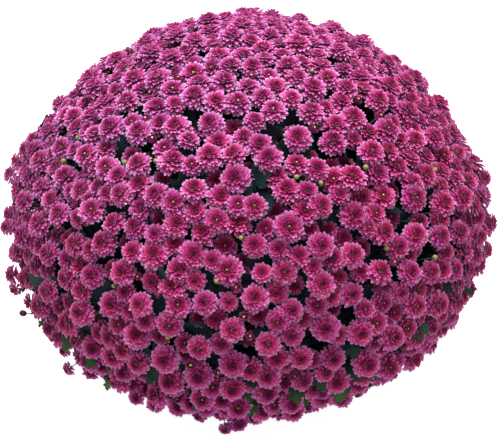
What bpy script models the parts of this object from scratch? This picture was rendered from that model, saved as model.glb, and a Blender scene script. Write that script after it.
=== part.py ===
"""A pot chrysanthemum: a wide cushion of double blooms that hides the plain clay pot it grows in.

One woody crown stands in the soil. Seven stems fork from it, and each forks again into branches. A branch
ends in a flowering spray, whose blooms fan out from one foot and face out of the plant.
Lengths are in metres, +Z is up, and the origin is on the ground under the middle of the pot.
"""

import math

import bmesh
import bpy
import numpy as np
from mathutils import Matrix, Vector
from mathutils.bvhtree import BVHTree

# The cushion, the surface on which the bloom faces lie
CUSHION_RADIUS = 0.284
CUSHION_RISE = 0.229
CUSHION_DROP = 0.203
WIDEST_HEIGHT = 0.220
RISE_POWER = 1.163
DROP_POWER = 1.081
SKIRT_ANGLE = math.radians(-54)
PROFILE_STEPS = 400

# Blooms and sprays
BLOOM_COUNT = 466
BLOOM_RADIUS = 0.0210
BLOOM_SHARE_OF_GAP = 0.485
BLOOM_HEIGHT_SPREAD = 0.005
BLOOM_TURN = 0.16
FACING_UP = 0.27
PETAL_RING = 10
UPPER_PETAL_REACH = 0.84
UPPER_PETAL_LIFT = 0.24
LOWER_PETAL_DROP = 0.05
CENTRE_LIFT = 0.06
SPRAY_COUNT = 44
SPRAY_DEPTH = 0.095
SKIRT_SPRAY_DEPTH = 0.058
STALK_LENGTH = 0.030
ROOT_RADIUS = 0.0030
FOOT_RADIUS = 0.0026
HEART = Vector((0, 0, 0.250))

# Stems and leaves
FIT = 0.0003
STUMP_RADIUS = 0.014
STUMP_DEPTH = 0.045
STUMP_STANDS = 0.012
STUMP_TAPER = 0.8
SIDE_STEMS = 6
STEM_BEND = (0.045, 0.185)
STEM_TIP = (0.085, 0.255)
TOP_STEM_TIP = 0.285
TOP_FEET_RADIUS = 0.095
STEM_RADIUS = 0.0060
STEM_TIP_RADIUS = 0.0042
BRANCHING_FROM = 0.35
BRANCHING_TO = 0.985
BRANCH_STRAIGHT = 0.45
BRANCH_RADIUS = 0.0030
BRANCH_TIP_RADIUS = 0.0022
BRANCH_TIP = 0.007
RIM_CLEARANCE = 0.026
HANGING_FROM = 0.195
HANGING_BELOW = 0.120
LEAF_COUNT = 50
LEAF_LENGTHS = (0.046, 0.064)
LEAF_WIDTH_SHARE = 0.70
LEAF_THICKNESS = 0.0016
LEAF_ARCHES = (0.05, 0.22)
LEAF_MIDDLE = 0.60
LEAF_STALK = 0.12
LEAF_CLEARANCE = 0.0014
LEAF_TRIES = 60
# Half of the leaf's outline as (share of length, share of half width), from its stalk to its tip
LEAF_SIDE = [(0.26, 0.05), (0.33, 0.66), (0.50, 0.42), (0.66, 1.0), (0.76, 0.44)]

# Pot and soil
POT_HEIGHT = 0.165
POT_RADIUS = 0.110
POT_FOOT_RADIUS = 0.080
POT_WALL = 0.007
POT_FLOOR = 0.010
BAND_HEIGHT = 0.026
BAND_PROUD = 0.005
CHAMFER = 0.0015
DRAIN_RADIUS = 0.006
DRAIN_CIRCLE = 0.045
POT_SIDES = 24
SOIL_LEVEL = 0.140
SOIL_CRUMB = 0.0022

GOLDEN_ANGLE = math.pi * (3 - math.sqrt(5))
UP = Vector((0, 0, 1))


# Scene, materials and small helpers


def clear_scene():
    for old in list(bpy.data.objects):
        bpy.data.objects.remove(old, do_unlink=True)


def collection(name):
    made = bpy.data.collections.new(name)
    bpy.context.scene.collection.children.link(made)
    return made


def material(name, colour, roughness):
    made = bpy.data.materials.new(name)
    made.use_nodes = True
    surface = made.node_tree.nodes["Principled BSDF"]
    surface.inputs["Base Color"].default_value = (*colour, 1)
    surface.inputs["Roughness"].default_value = roughness
    return made


def add_object(name, shape, group, finish=None):
    """Ends a bmesh with its faces turned outwards, and shows it as an object."""
    bmesh.ops.recalc_face_normals(shape, faces=shape.faces)
    mesh = bpy.data.meshes.new(name)
    shape.to_mesh(mesh)
    shape.free()
    made = bpy.data.objects.new(name, mesh)
    if finish:
        mesh.materials.append(finish)
    group.objects.link(made)
    return made


def standing(place, way):
    """A matrix that stands +Z along way, at place."""
    return Matrix.Translation(place) @ way.to_track_quat("Z", "Y").to_matrix().to_4x4()


def outward(place):
    """The level direction from the plant's axis to a place."""
    return Vector((place.x, place.y, 0)).normalized()


# The cushion and what is spread over it


def cushion_profile():
    """Angle, radius, height and outward normal down the cushion, from its top to the end of its skirt."""
    angle = np.linspace(math.pi / 2, SKIRT_ANGLE, PROFILE_STEPS)
    radius = CUSHION_RADIUS * np.cos(angle)
    climb = np.abs(np.sin(angle))
    above = CUSHION_RISE * climb**RISE_POWER
    below = -CUSHION_DROP * climb**DROP_POWER
    height = WIDEST_HEIGHT + np.where(angle > 0, above, below)
    along = np.stack([np.gradient(radius), np.gradient(height)], 1)
    along /= np.linalg.norm(along, axis=1)[:, None]
    return angle, radius, height, np.stack([-along[:, 1], along[:, 0]], 1)


def scatter(count, seed, passes=100):
    """(places, outward normals, profile angles) of count points spread evenly over the cushion.

    They start on a sunflower's spiral, are shaken, and then push their neighbours away.
    """
    angle, radius, height, normal = cushion_profile()
    belt = math.pi * (radius[1:] + radius[:-1]) * np.hypot(np.diff(radius), np.diff(height))
    area = np.concatenate([[0], np.cumsum(belt)])
    spacing = math.sqrt(area[-1] / count)
    index = np.arange(count)
    steps = np.arange(PROFILE_STEPS)
    at = np.interp((index + 0.5) / count * area[-1], area, steps)
    turn = index * GOLDEN_ANGLE
    r = np.interp(at, steps, radius)
    points = np.stack([r * np.cos(turn), r * np.sin(turn), np.interp(at, steps, height)], 1)
    points += np.random.default_rng(seed).normal(0, 0.2 * spacing, points.shape)
    for _ in range(passes):
        apart = points[:, None] - points[None]
        far = np.linalg.norm(apart, axis=2) + 1e-9
        push = np.maximum(1.1 * spacing - far, 0) / far
        np.fill_diagonal(push, 0)
        points += 0.2 * (apart * push[:, :, None]).sum(1)
        flat = np.maximum(np.hypot(points[:, 0], points[:, 1]), 1e-9)
        off = (flat[:, None] - radius) ** 2 + (points[:, 2][:, None] - height) ** 2
        near = off.argmin(1)
        points[:, :2] *= (radius[near] / flat)[:, None]
        points[:, 2] = height[near]
    flat = np.maximum(np.hypot(points[:, 0], points[:, 1]), 1e-9)
    level = points[:, :2] / flat[:, None]
    normals = np.column_stack([level * normal[near, 0][:, None], normal[near, 1]])
    return points, normals, angle[near]


def bloom_layout():
    """Each bloom as (place, way it faces, radius). None touches its neighbour."""
    places, normals, angles = scatter(BLOOM_COUNT, seed=11)
    rng = np.random.default_rng(12)
    places = places + normals * rng.uniform(-1, 1, (len(places), 1)) * BLOOM_HEIGHT_SPREAD
    ways = normals + rng.normal(0, BLOOM_TURN, normals.shape)
    ways[:, 2] += FACING_UP
    ways /= np.linalg.norm(ways, axis=1)[:, None]
    far = np.linalg.norm(places[:, None] - places[None], axis=2)
    np.fill_diagonal(far, 1)
    radii = np.minimum(far.min(1) * BLOOM_SHARE_OF_GAP, BLOOM_RADIUS)
    for k, gaps in enumerate(far):
        radii[k] = min((2 * BLOOM_SHARE_OF_GAP * gaps - radii)[gaps < 1].min(), BLOOM_RADIUS)
    return [(Vector(p), Vector(w), float(r)) for p, w, r in zip(places, ways, radii)]


def spray_layout():
    """Each spray as (foot, axis, length from its foot to the cushion's surface).

    Their axes all meet in the heart of the plant, so that no spray crosses the next.
    """
    places, _, angles = scatter(SPRAY_COUNT, seed=5)
    sprays = []
    for place, angle in zip(places, angles):
        axis = (Vector(place) - HEART).normalized()
        hanging = max(angle / SKIRT_ANGLE, 0)
        depth = SPRAY_DEPTH + (SKIRT_SPRAY_DEPTH - SPRAY_DEPTH) * hanging
        sprays.append((Vector(place) - axis * depth, axis, depth))
    return sprays


# Sprays of blooms


def split_side(low, high, bloom):
    """Cuts the face beside the bloom that holds both points, unless an edge joins them already."""
    if any(edge.other_vert(low) == high for edge in low.link_edges):
        return
    face = next(f for f in low.link_faces if f != bloom and high in f.verts[:])
    bmesh.utils.face_split(face, low, high)


def cut_ring(bloom, corners, lower):
    """Cuts a three-sided face's edges into the ring of petal tips, and the faces beside it to match."""
    cuts = [PETAL_RING // 3 - 1, PETAL_RING // 3 - 1, PETAL_RING - 2 * (PETAL_RING // 3) - 1]
    for near, edge, count in zip(corners, [loop.edge for loop in bloom.loops], cuts):
        for _ in range(count):
            near = bmesh.utils.edge_split(edge, near, 0.5)[1]
    ring = [loop.vert for loop in bloom.loops]
    start = ring.index(corners[0])
    ring = ring[start:] + ring[:start]
    at = [ring.index(v) for v in corners] + [PETAL_RING]
    for side in range(3):
        middle = (at[side] + at[side + 1]) // 2
        for k in range(at[side] + 1, middle + 1):
            split_side(lower[side], ring[k], bloom)
        for k in range(middle, at[side + 1]):
            split_side(lower[(side + 1) % 3], ring[k], bloom)
    return ring


def raise_bloom(shape, root, place, way, radius):
    """Grows one bloom out of a small three-sided face of the spray's hub.

    Even points of its ring are the tips of the lower petals, odd ones those of the shorter, raised petals.
    """
    bloom = bmesh.ops.extrude_discrete_faces(shape, faces=[root])["faces"][0]
    corners = [loop.vert for loop in bloom.loops]
    lower = [
        next(e.other_vert(v) for e in v.link_edges if bloom not in e.link_faces[:])
        for v in corners
    ]
    frame = standing(place, way)
    first = frame.inverted() @ corners[0].co
    begin = math.atan2(first.y, first.x)
    ring = cut_ring(bloom, corners, lower)
    for k, vert in enumerate(ring):
        reach, rise = (UPPER_PETAL_REACH, UPPER_PETAL_LIFT) if k % 2 else (1, -LOWER_PETAL_DROP)
        turn = begin + 2 * math.pi * k / PETAL_RING
        vert.co = frame @ (radius * Vector((reach * math.cos(turn), reach * math.sin(turn), rise)))
    centre = bmesh.ops.poke(shape, faces=[bloom])["verts"][0]
    centre.co = frame @ Vector((0, 0, CENTRE_LIFT * radius))


def spray(name, foot, axis, depth, blooms, group, finish):
    """One spray: a hub that widens from its foot, with a bloom on each of its upper corners."""
    shape = bmesh.new()
    hub = depth - STALK_LENGTH
    roots = []
    for place, _, _ in blooms:
        way = (place - foot).normalized()
        ring = bmesh.ops.create_circle(
            shape, segments=3, radius=ROOT_RADIUS, matrix=standing(foot + way * hub, way)
        )["verts"]
        for vert in ring:
            vert.co = foot + (vert.co - foot).normalized() * hub
        roots.append(ring)
    bmesh.ops.create_circle(shape, segments=3, radius=FOOT_RADIUS, matrix=standing(foot, axis))
    bmesh.ops.convex_hull(shape, input=shape.verts)
    bmesh.ops.recalc_face_normals(shape, faces=shape.faces)
    for ring, (place, way, radius) in zip(roots, blooms):
        root = next(f for f in ring[0].link_faces if set(f.verts) == set(ring))
        raise_bloom(shape, root, place, way, radius)
    return add_object(name, shape, group, finish)


def all_sprays(group, finish):
    """Shares the blooms out among the sprays by the direction they have from the heart."""
    sprays = spray_layout()
    shares = [[] for _ in sprays]
    for bloom in bloom_layout():
        way = (bloom[0] - HEART).normalized()
        nearest = max(range(len(sprays)), key=lambda k: sprays[k][1].dot(way))
        shares[nearest].append(bloom)
    return [
        spray(f"spray_{k + 1:02d}", foot, axis, depth, shares[k], group, finish)
        for k, (foot, axis, depth) in enumerate(sprays)
    ]


# Pot and soil


def turned(name, profile, group, finish):
    """A profile of (radius, height), from the axis out, down its outer side and back, turned round Z."""
    shape = bmesh.new()
    verts = [shape.verts.new((r, 0, z)) for r, z in profile]
    for first, second in zip(verts, verts[1:]):
        shape.edges.new((first, second))
    made = add_object(name, shape, group, finish)
    turn = made.modifiers.new("turned", "SCREW")
    turn.steps = turn.render_steps = POT_SIDES
    turn.use_merge_vertices = True
    turn.merge_threshold = 1e-5
    return made


def as_built(made):
    """A mesh of an object with its modifiers carried out."""
    bpy.context.view_layer.update()
    return bpy.data.meshes.new_from_object(
        made.evaluated_get(bpy.context.evaluated_depsgraph_get())
    )


def cut_away(made, name, places, radius, sides, depth, cutters):
    """Cuts upright round holes, each around one of the places."""
    shape = bmesh.new()
    for place in places:
        bmesh.ops.create_cone(
            shape, segments=sides, radius1=radius, radius2=radius, depth=depth, cap_ends=True,
            matrix=Matrix.Translation(place),
        )
    cutter = add_object(name, shape, cutters)
    cutter.hide_render = True
    cutter.display_type = "WIRE"
    cut = made.modifiers.new(name, "BOOLEAN")
    cut.operation = "DIFFERENCE"
    cut.object = cutter


def wall_radius(height):
    """Outer radius of the pot's wall below its band."""
    return POT_FOOT_RADIUS + (POT_RADIUS - POT_FOOT_RADIUS) * height / POT_HEIGHT


def inside_radius(height):
    """Radius of the pot's inner wall."""
    return wall_radius(height) - POT_WALL


def pot(group, cutters, finish):
    """A plain clay pot with a band round its rim and four drain holes."""
    band_foot = POT_HEIGHT - BAND_HEIGHT
    profile = [
        (0, POT_FLOOR),
        (inside_radius(POT_FLOOR), POT_FLOOR),
        (inside_radius(POT_HEIGHT - 2 * CHAMFER), POT_HEIGHT - 2 * CHAMFER),
        (POT_RADIUS - POT_WALL + CHAMFER, POT_HEIGHT),
        (POT_RADIUS + BAND_PROUD - CHAMFER, POT_HEIGHT),
        (POT_RADIUS + BAND_PROUD, POT_HEIGHT - CHAMFER),
        (wall_radius(band_foot) + BAND_PROUD, band_foot + CHAMFER),
        (wall_radius(band_foot) + BAND_PROUD - CHAMFER, band_foot),
        (wall_radius(band_foot), band_foot),
        (wall_radius(CHAMFER), CHAMFER),
        (POT_FOOT_RADIUS - CHAMFER, 0),
        (0, 0),
    ]
    made = turned("pot", profile, group, finish)
    turns = [math.pi / 4 + math.pi / 2 * k for k in range(4)]
    places = [
        Vector((DRAIN_CIRCLE * math.cos(t), DRAIN_CIRCLE * math.sin(t), POT_FLOOR / 2))
        for t in turns
    ]
    cut_away(made, "drain_holes", places, DRAIN_RADIUS, 6, 3 * POT_FLOOR, cutters)
    return made


def crumb(x, y):
    """How far the soil's surface stands above its level, from -1 to 1."""
    return (math.sin(190 * x + 2) * math.sin(230 * y) + math.sin(330 * (x - y))) / 2


def soil(group, cutters, finish):
    """Potting soil with a crumbled top, and one hole for the crown of the plant."""
    floor = POT_FLOOR + FIT
    edge = inside_radius(SOIL_LEVEL) - 2 * FIT
    profile = [(edge * share, SOIL_LEVEL) for share in (0, 0.4, 0.72, 1)]
    profile += [(inside_radius(floor) - 2 * FIT, floor), (0, floor)]
    made = turned("soil", profile, group, finish)
    made.data = as_built(made)
    made.modifiers.clear()
    for vert in made.data.vertices:
        inner = math.hypot(vert.co.x, vert.co.y) < 0.95 * edge
        if vert.co.z > SOIL_LEVEL - FIT and inner:
            vert.co.z += SOIL_CRUMB * crumb(vert.co.x, vert.co.y)
    above = 0.02
    place = Vector((0, 0, SOIL_LEVEL + (above - STUMP_DEPTH - FIT) / 2))
    depth = STUMP_DEPTH + FIT + above
    cut_away(made, "crown_hole", [place], STUMP_RADIUS + FIT, 8, depth, cutters)
    return made


# Stems and leaves


def tube(points, first, last, group):
    """A four-sided tube through the points, tapering from its first radius to its last."""
    curve = bpy.data.curves.new("tube", "CURVE")
    curve.dimensions = "3D"
    curve.bevel_depth = 1
    curve.bevel_resolution = 0
    curve.use_fill_caps = True
    line = curve.splines.new("POLY")
    line.points.add(len(points) - 1)
    for k, (point, place) in enumerate(zip(line.points, points)):
        point.co = (*place, 1)
        point.radius = first + (last - first) * k / (len(points) - 1)
    drawn = bpy.data.objects.new("tube", curve)
    group.objects.link(drawn)
    shape = bmesh.new()
    shape.from_mesh(as_built(drawn))
    bpy.data.objects.remove(drawn)
    bmesh.ops.remove_doubles(shape, verts=shape.verts, dist=1e-5)
    return add_object("tube", shape, group)


def bent(start, middle, end, steps):
    """Points along a curve that leaves start for middle and arrives at end."""
    shares = [k / steps for k in range(steps + 1)]
    return [start * (1 - s) ** 2 + middle * 2 * s * (1 - s) + end * s * s for s in shares]


def along(points, share):
    """The place a share of the way through a path's points."""
    at = share * (len(points) - 1)
    k = min(int(at), len(points) - 2)
    return points[k].lerp(points[k + 1], at - k)


def stem_points():
    """Each stem's points. The side stems lean out of the crown all round, and the last one stands up."""
    ground = UP * (SOIL_LEVEL + STUMP_STANDS / 2)
    made = []
    for k in range(SIDE_STEMS):
        turn = 2 * math.pi * (k + 0.5) / SIDE_STEMS
        level = Vector((math.cos(turn), math.sin(turn), 0))
        start = ground + level * STUMP_RADIUS / 3
        bend, tip = (level * r + UP * z for r, z in (STEM_BEND, STEM_TIP))
        made.append(bent(start, bend, tip, 3))
    made.append([ground, UP * TOP_STEM_TIP])
    return made


def branch_points(start, foot, axis):
    """A branch from its stem to just short of a spray's foot. One that hangs first clears the pot's rim."""
    end = foot - axis * FIT
    hanging = min(max((HANGING_FROM - foot.z) / (HANGING_FROM - HANGING_BELOW), 0), 1)
    straight = foot - axis * BRANCH_STRAIGHT * (foot - start).length
    if not hanging:
        return [start, straight, end]
    level = outward(foot)
    over = level * (level.dot(foot) + RIM_CLEARANCE) + UP * (POT_HEIGHT + 2 * RIM_CLEARANCE)
    return bent(start, straight.lerp(over, hanging), foot - axis * BRANCH_TIP, 3) + [end]


def branches(stems):
    """Each branch's points. A stem's lowest branches feed its lowest sprays."""
    fed = [[] for _ in stems]
    for foot, axis, _ in spray_layout():
        level = outward(foot)
        if level.dot(foot) < TOP_FEET_RADIUS:
            nearest = len(stems) - 1
        else:
            nearest = max(range(SIDE_STEMS), key=lambda k: outward(stems[k][-1]).dot(level))
        fed[nearest].append((foot, axis))
    made = []
    for stem, feet in zip(stems, fed):
        feet.sort(key=lambda pair: pair[0].z)
        for k, (foot, axis) in enumerate(feet):
            share = BRANCHING_FROM + (BRANCHING_TO - BRANCHING_FROM) * k / (len(feet) - 1)
            made.append(branch_points(along(stem, share), foot, axis))
    return made


def leaf_shape(length, thickness, arch):
    """A lobed leaf along +X from its stalk's end at the origin, thickest along its midrib."""
    side = [(x * length, y * length * LEAF_WIDTH_SHARE / 2) for x, y in LEAF_SIDE]
    outline = [(0, 0), *side, (length, 0), *[(x, -y) for x, y in reversed(side)]]
    shape = bmesh.new()
    made = bmesh.ops.create_circle(shape, segments=len(outline), radius=1, cap_ends=True)
    ring = made["verts"]
    for vert, (x, y) in zip(ring, outline):
        vert.co = (x, y, 0)
    heart = bmesh.ops.poke(shape, faces=shape.faces)["verts"][0]
    heart.co = (LEAF_MIDDLE * length, 0, 0)
    midrib = next(e for e in heart.link_edges if e.other_vert(heart) == ring[0])
    stalk = bmesh.utils.edge_split(midrib, heart, 0.8)[1]
    stalk.co = (LEAF_STALK * length, 0, 0)
    for tip in (ring[1], ring[-1]):
        face = next(f for f in stalk.link_faces if tip in f.verts[:])
        bmesh.utils.face_split(face, stalk, tip)
    stalk.co.z = heart.co.z = thickness / 2
    under = bmesh.ops.duplicate(shape, geom=shape.verts[:] + shape.edges[:] + shape.faces[:])["geom"]
    for item in under:
        if isinstance(item, bmesh.types.BMVert):
            item.co.z = -item.co.z
    bmesh.ops.remove_doubles(shape, verts=shape.verts, dist=1e-6)
    for vert in shape.verts:
        vert.co.z -= arch * length * (vert.co.x / length) ** 2
    bmesh.ops.recalc_face_normals(shape, faces=shape.faces)
    return shape


def leaf_places(paths, rng):
    """Endless seeded tries for a leaf, each as (place on a branch, way the leaf points)."""
    while True:
        points = paths[rng.integers(len(paths))]
        k = rng.integers(1, len(points) - 1)
        place = points[k - 1].lerp(points[k], rng.uniform(0.3, 0.95))
        path = (points[k] - points[k - 1]).normalized()
        way = Vector(rng.normal(0, 1, 3))
        way = (way - path * way.dot(path)).normalized() + path * rng.uniform(0.2, 0.9)
        yield place, (way + 0.5 * outward(place)).normalized()


def leaves(paths, blockers, group):
    """Leaves on the branches, each kept only where it's clear of the blooms, the pot and other leaves."""
    rng = np.random.default_rng(21)
    tries = leaf_places(paths, rng)
    kept = 0
    trees = list(blockers)
    for _ in range(LEAF_COUNT * LEAF_TRIES):
        if kept == LEAF_COUNT:
            break
        place, way = next(tries)
        length = rng.uniform(*LEAF_LENGTHS)
        arch = rng.uniform(*LEAF_ARCHES)
        turn = Matrix.Translation(place) @ way.to_track_quat("X", "Z").to_matrix().to_4x4()
        test = leaf_shape(length + 2 * LEAF_CLEARANCE, LEAF_THICKNESS + LEAF_CLEARANCE, arch)
        bmesh.ops.transform(test, matrix=turn, verts=test.verts)
        tree = BVHTree.FromBMesh(test)
        test.free()
        if any(tree.overlap(other) for other in trees):
            continue
        shape = leaf_shape(length, LEAF_THICKNESS, arch)
        bmesh.ops.transform(shape, matrix=turn, verts=shape.verts)
        add_object("leaf", shape, group)
        trees.append(tree)
        kept += 1


def tree_of(made):
    """A search tree of an object's faces, with its cutters taken away."""
    shape = bmesh.new()
    shape.from_object(made, bpy.context.evaluated_depsgraph_get())
    tree = BVHTree.FromBMesh(shape)
    shape.free()
    return tree


def leafy_stems(blockers, group, finish):
    """The green of the plant, all in one body from the crown in the soil to the branches' ends."""
    pieces = collection("green_pieces")
    stump = bmesh.new()
    bottom = SOIL_LEVEL - STUMP_DEPTH
    depth = STUMP_DEPTH + STUMP_STANDS
    bmesh.ops.create_cone(
        stump, segments=8, radius1=STUMP_RADIUS * STUMP_TAPER, radius2=STUMP_RADIUS, depth=depth,
        cap_ends=True, matrix=Matrix.Translation((0, 0, bottom + depth / 2)),
    )
    body = add_object("leafy_stems", stump, group, finish)
    stems = stem_points()
    paths = branches(stems)
    for points in stems:
        tube(points, STEM_RADIUS, STEM_TIP_RADIUS, pieces)
    for points in paths:
        tube(points, BRANCH_RADIUS, BRANCH_TIP_RADIUS, pieces)
    leaves(paths, [tree_of(made) for made in blockers], pieces)
    union = body.modifiers.new("grown together", "BOOLEAN")
    union.operation = "UNION"
    union.solver = "MANIFOLD"
    union.operand_type = "COLLECTION"
    union.collection = pieces
    body.data = as_built(body)
    body.modifiers.clear()
    for piece in list(pieces.objects):
        bpy.data.objects.remove(piece)
    bpy.data.collections.remove(pieces)
    return body


def main():
    clear_scene()
    group = collection("pot_chrysanthemum")
    cutters = collection("cutters")
    clay = material("clay", (0.43, 0.16, 0.08), 0.85)
    earth = material("potting_soil", (0.045, 0.028, 0.018), 0.95)
    green = material("green", (0.06, 0.15, 0.045), 0.6)
    pink = material("pink_petals", (0.58, 0.05, 0.24), 0.7)
    sprays = all_sprays(group, pink)
    others = [pot(group, cutters, clay), soil(group, cutters, earth)]
    bpy.context.view_layer.update()
    leafy_stems(sprays + others, group, green)


main()
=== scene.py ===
# %% [markdown]
# # A pot chrysanthemum in bloom
#
# The plant is a wide cushion: over a thousand small double blooms on branching stems, which hide the plain clay
# pot that they grow in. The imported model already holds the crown, the stems, 44 sprays of plain blooms, the pot
# and the soil. This lesson dresses it: every bloom gets its layers of petals, the gaps get their leaves and
# buds, and each surface gets its finish. Lengths are in metres, +Z is up and the plant's front looks to -Y.

import math
from collections import namedtuple

import bmesh
import bpy
import numpy as np
from mathutils import Matrix, Vector


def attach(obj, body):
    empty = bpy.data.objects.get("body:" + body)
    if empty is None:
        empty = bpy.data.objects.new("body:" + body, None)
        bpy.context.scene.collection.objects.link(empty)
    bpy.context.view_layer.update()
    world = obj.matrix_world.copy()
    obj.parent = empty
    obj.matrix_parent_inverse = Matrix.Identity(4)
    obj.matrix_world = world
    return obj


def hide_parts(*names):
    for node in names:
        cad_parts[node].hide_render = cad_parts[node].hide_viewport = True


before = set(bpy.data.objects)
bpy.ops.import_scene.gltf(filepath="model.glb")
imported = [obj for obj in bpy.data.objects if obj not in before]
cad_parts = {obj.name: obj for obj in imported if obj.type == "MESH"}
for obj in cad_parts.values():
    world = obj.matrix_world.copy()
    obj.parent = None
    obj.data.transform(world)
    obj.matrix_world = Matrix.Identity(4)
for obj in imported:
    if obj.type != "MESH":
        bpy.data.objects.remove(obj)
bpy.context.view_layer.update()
UP = Vector((0, 0, 1))


def show(name, data):
    """Puts an object with the given data into the scene, at the origin."""
    made = bpy.data.objects.new(name, data)
    bpy.context.scene.collection.objects.link(made)
    return made


# %% [markdown]
# ## Camera
#
# The photograph looks down on the cushion at about 35 degrees, from so far off that it hardly narrows with
# height. A long lens gives the same flat view. Its angle, distance and length come from the cushion's outline.

# %% Set up the camera
CAMERA_PLACE = Vector((0, -1.474, 1.252))
CAMERA_AIM = Vector((0, 0, 0.210))
CAMERA_LENS = 107
SENSOR_WIDTH = 36

camera_data = bpy.data.cameras.new("camera")
camera_data.sensor_width = SENSOR_WIDTH
camera_data.lens = CAMERA_LENS
camera = show("camera", camera_data)
camera.location = CAMERA_PLACE
camera.rotation_euler = (CAMERA_AIM - CAMERA_PLACE).to_track_quat("-Z", "Y").to_euler()
bpy.context.scene.camera = camera
print("camera looks down at", round(math.degrees(math.pi / 2 - camera.rotation_euler.x), 1), "degrees")

# %% [markdown]
# ## The cushion
#
# A gardener's cushion mum grows to a smooth dome with a skirt that hangs past the rim of its pot. The bloom
# faces lie on one surface of revolution, so one profile, from the top down to the end of the skirt, holds its
# shape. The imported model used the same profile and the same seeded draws, so its blooms are found again here.

# %% The cushion's profile
CUSHION_RADIUS = 0.284
CUSHION_RISE = 0.229
CUSHION_DROP = 0.203
WIDEST_HEIGHT = 0.220
RISE_POWER = 1.163
DROP_POWER = 1.081
SKIRT_ANGLE = math.radians(-54)
PROFILE_STEPS = 400
GOLDEN_ANGLE = math.pi * (3 - math.sqrt(5))


def cushion_profile():
    """Angle, radius, height and outward normal down the cushion, from its top to the end of its skirt."""
    angle = np.linspace(math.pi / 2, SKIRT_ANGLE, PROFILE_STEPS)
    radius = CUSHION_RADIUS * np.cos(angle)
    climb = np.abs(np.sin(angle))
    above = CUSHION_RISE * climb**RISE_POWER
    below = -CUSHION_DROP * climb**DROP_POWER
    height = WIDEST_HEIGHT + np.where(angle > 0, above, below)
    along = np.stack([np.gradient(radius), np.gradient(height)], 1)
    along /= np.linalg.norm(along, axis=1)[:, None]
    return angle, radius, height, np.stack([-along[:, 1], along[:, 0]], 1)


def area_down(radius, height):
    """The cushion's area from its top down to each step of the profile."""
    belt = math.pi * (radius[1:] + radius[:-1]) * np.hypot(np.diff(radius), np.diff(height))
    return np.concatenate([[0], np.cumsum(belt)])


ANGLES, RADII, HEIGHTS, NORMALS = cushion_profile()
AREAS = area_down(RADII, HEIGHTS)
STEPS = np.arange(PROFILE_STEPS)
print("area of the cushion:", round(float(AREAS[-1]), 3), "square metres")

# %% [markdown]
# ## Where the blooms are
#
# Blooms crowd each other to an even, restless spacing. Points start on a sunflower's spiral, which shares the
# area out evenly, are shaken, and then push their neighbours away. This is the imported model's own rule.


# %% Spread points over the cushion
SHAKE = 0.2
PUSHES = 100
PUSH_REACH = 1.1
PUSH_SHARE = 0.2
NEVER_ZERO = 1e-9


def step_at(share):
    """The profile's step, whole or not, above which a share of the cushion's area lies."""
    return np.interp(share * AREAS[-1], AREAS, STEPS)


def around(level, normal):
    """Outward normals on the cushion, from level directions and the profile's normals."""
    return np.column_stack([level * normal[:, 0][:, None], normal[:, 1]])


def scatter(count, seed):
    """(places, outward normals, profile angles) of count points spread evenly over the cushion."""
    spacing = math.sqrt(AREAS[-1] / count)
    index = np.arange(count)
    at = step_at((index + 0.5) / count)
    turn = index * GOLDEN_ANGLE
    r = np.interp(at, STEPS, RADII)
    points = np.stack([r * np.cos(turn), r * np.sin(turn), np.interp(at, STEPS, HEIGHTS)], 1)
    points += np.random.default_rng(seed).normal(0, SHAKE * spacing, points.shape)
    for _ in range(PUSHES):
        apart = points[:, None] - points[None]
        far = np.linalg.norm(apart, axis=2) + NEVER_ZERO
        push = np.maximum(PUSH_REACH * spacing - far, 0) / far
        np.fill_diagonal(push, 0)
        points += PUSH_SHARE * (apart * push[:, :, None]).sum(1)
        flat = np.maximum(np.hypot(points[:, 0], points[:, 1]), NEVER_ZERO)
        off = (flat[:, None] - RADII) ** 2 + (points[:, 2][:, None] - HEIGHTS) ** 2
        near = off.argmin(1)
        points[:, :2] *= (RADII[near] / flat)[:, None]
        points[:, 2] = HEIGHTS[near]
    flat = np.maximum(np.hypot(points[:, 0], points[:, 1]), NEVER_ZERO)
    return points, around(points[:, :2] / flat[:, None], NORMALS[near]), ANGLES[near]


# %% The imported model's blooms and sprays
BLOOM_COUNT = 466
BLOOM_HEIGHT_SPREAD = 0.005
BLOOM_TURN = 0.16
FACING_UP = 0.27
SPRAY_COUNT = 44
SPRAY_DEPTH = 0.095
SKIRT_SPRAY_DEPTH = 0.058
HEART = Vector((0, 0, 0.250))


def main_blooms():
    """(places, ways they face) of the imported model's blooms."""
    places, normals, _ = scatter(BLOOM_COUNT, seed=11)
    rng = np.random.default_rng(12)
    places = places + normals * rng.uniform(-1, 1, (len(places), 1)) * BLOOM_HEIGHT_SPREAD
    ways = normals + rng.normal(0, BLOOM_TURN, normals.shape)
    ways[:, 2] += FACING_UP
    return places, ways / np.linalg.norm(ways, axis=1)[:, None]


def spray_layout():
    """Each spray as (foot, axis)."""
    sprays = []
    for place, angle in zip(*scatter(SPRAY_COUNT, seed=5)[::2]):
        axis = (Vector(place) - HEART).normalized()
        hanging = max(angle / SKIRT_ANGLE, 0)
        depth = SPRAY_DEPTH + (SKIRT_SPRAY_DEPTH - SPRAY_DEPTH) * hanging
        sprays.append((Vector(place) - axis * depth, axis))
    return sprays


def spray_of(place):
    """The number of the spray that a bloom grows on, from the direction that it has from the heart."""
    way = (Vector(place) - HEART).normalized()
    return max(range(SPRAY_COUNT), key=lambda k: sprays[k][1].dot(way))


main_places, main_ways = main_blooms()
sprays = spray_layout()
spray_names = [f"spray_{k + 1:02d}" for k in range(SPRAY_COUNT)]
packed = np.array([v.co for name in spray_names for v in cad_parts[name].data.vertices])
off = [np.linalg.norm(packed - place, axis=1).min() for place in main_places]
print("packed blooms found again within", round(1000 * max(off), 2), "mm")

# %% [markdown]
# ## Blooms in the gaps
#
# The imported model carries 466 blooms, larger than life. The real plant has over a thousand, so smaller ones
# fill the gaps, a little lower. Each new place is picked from many random ones on the cushion as the one
# farthest from every bloom so far. That is simple, and it never puts two blooms in the same spot.

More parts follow.
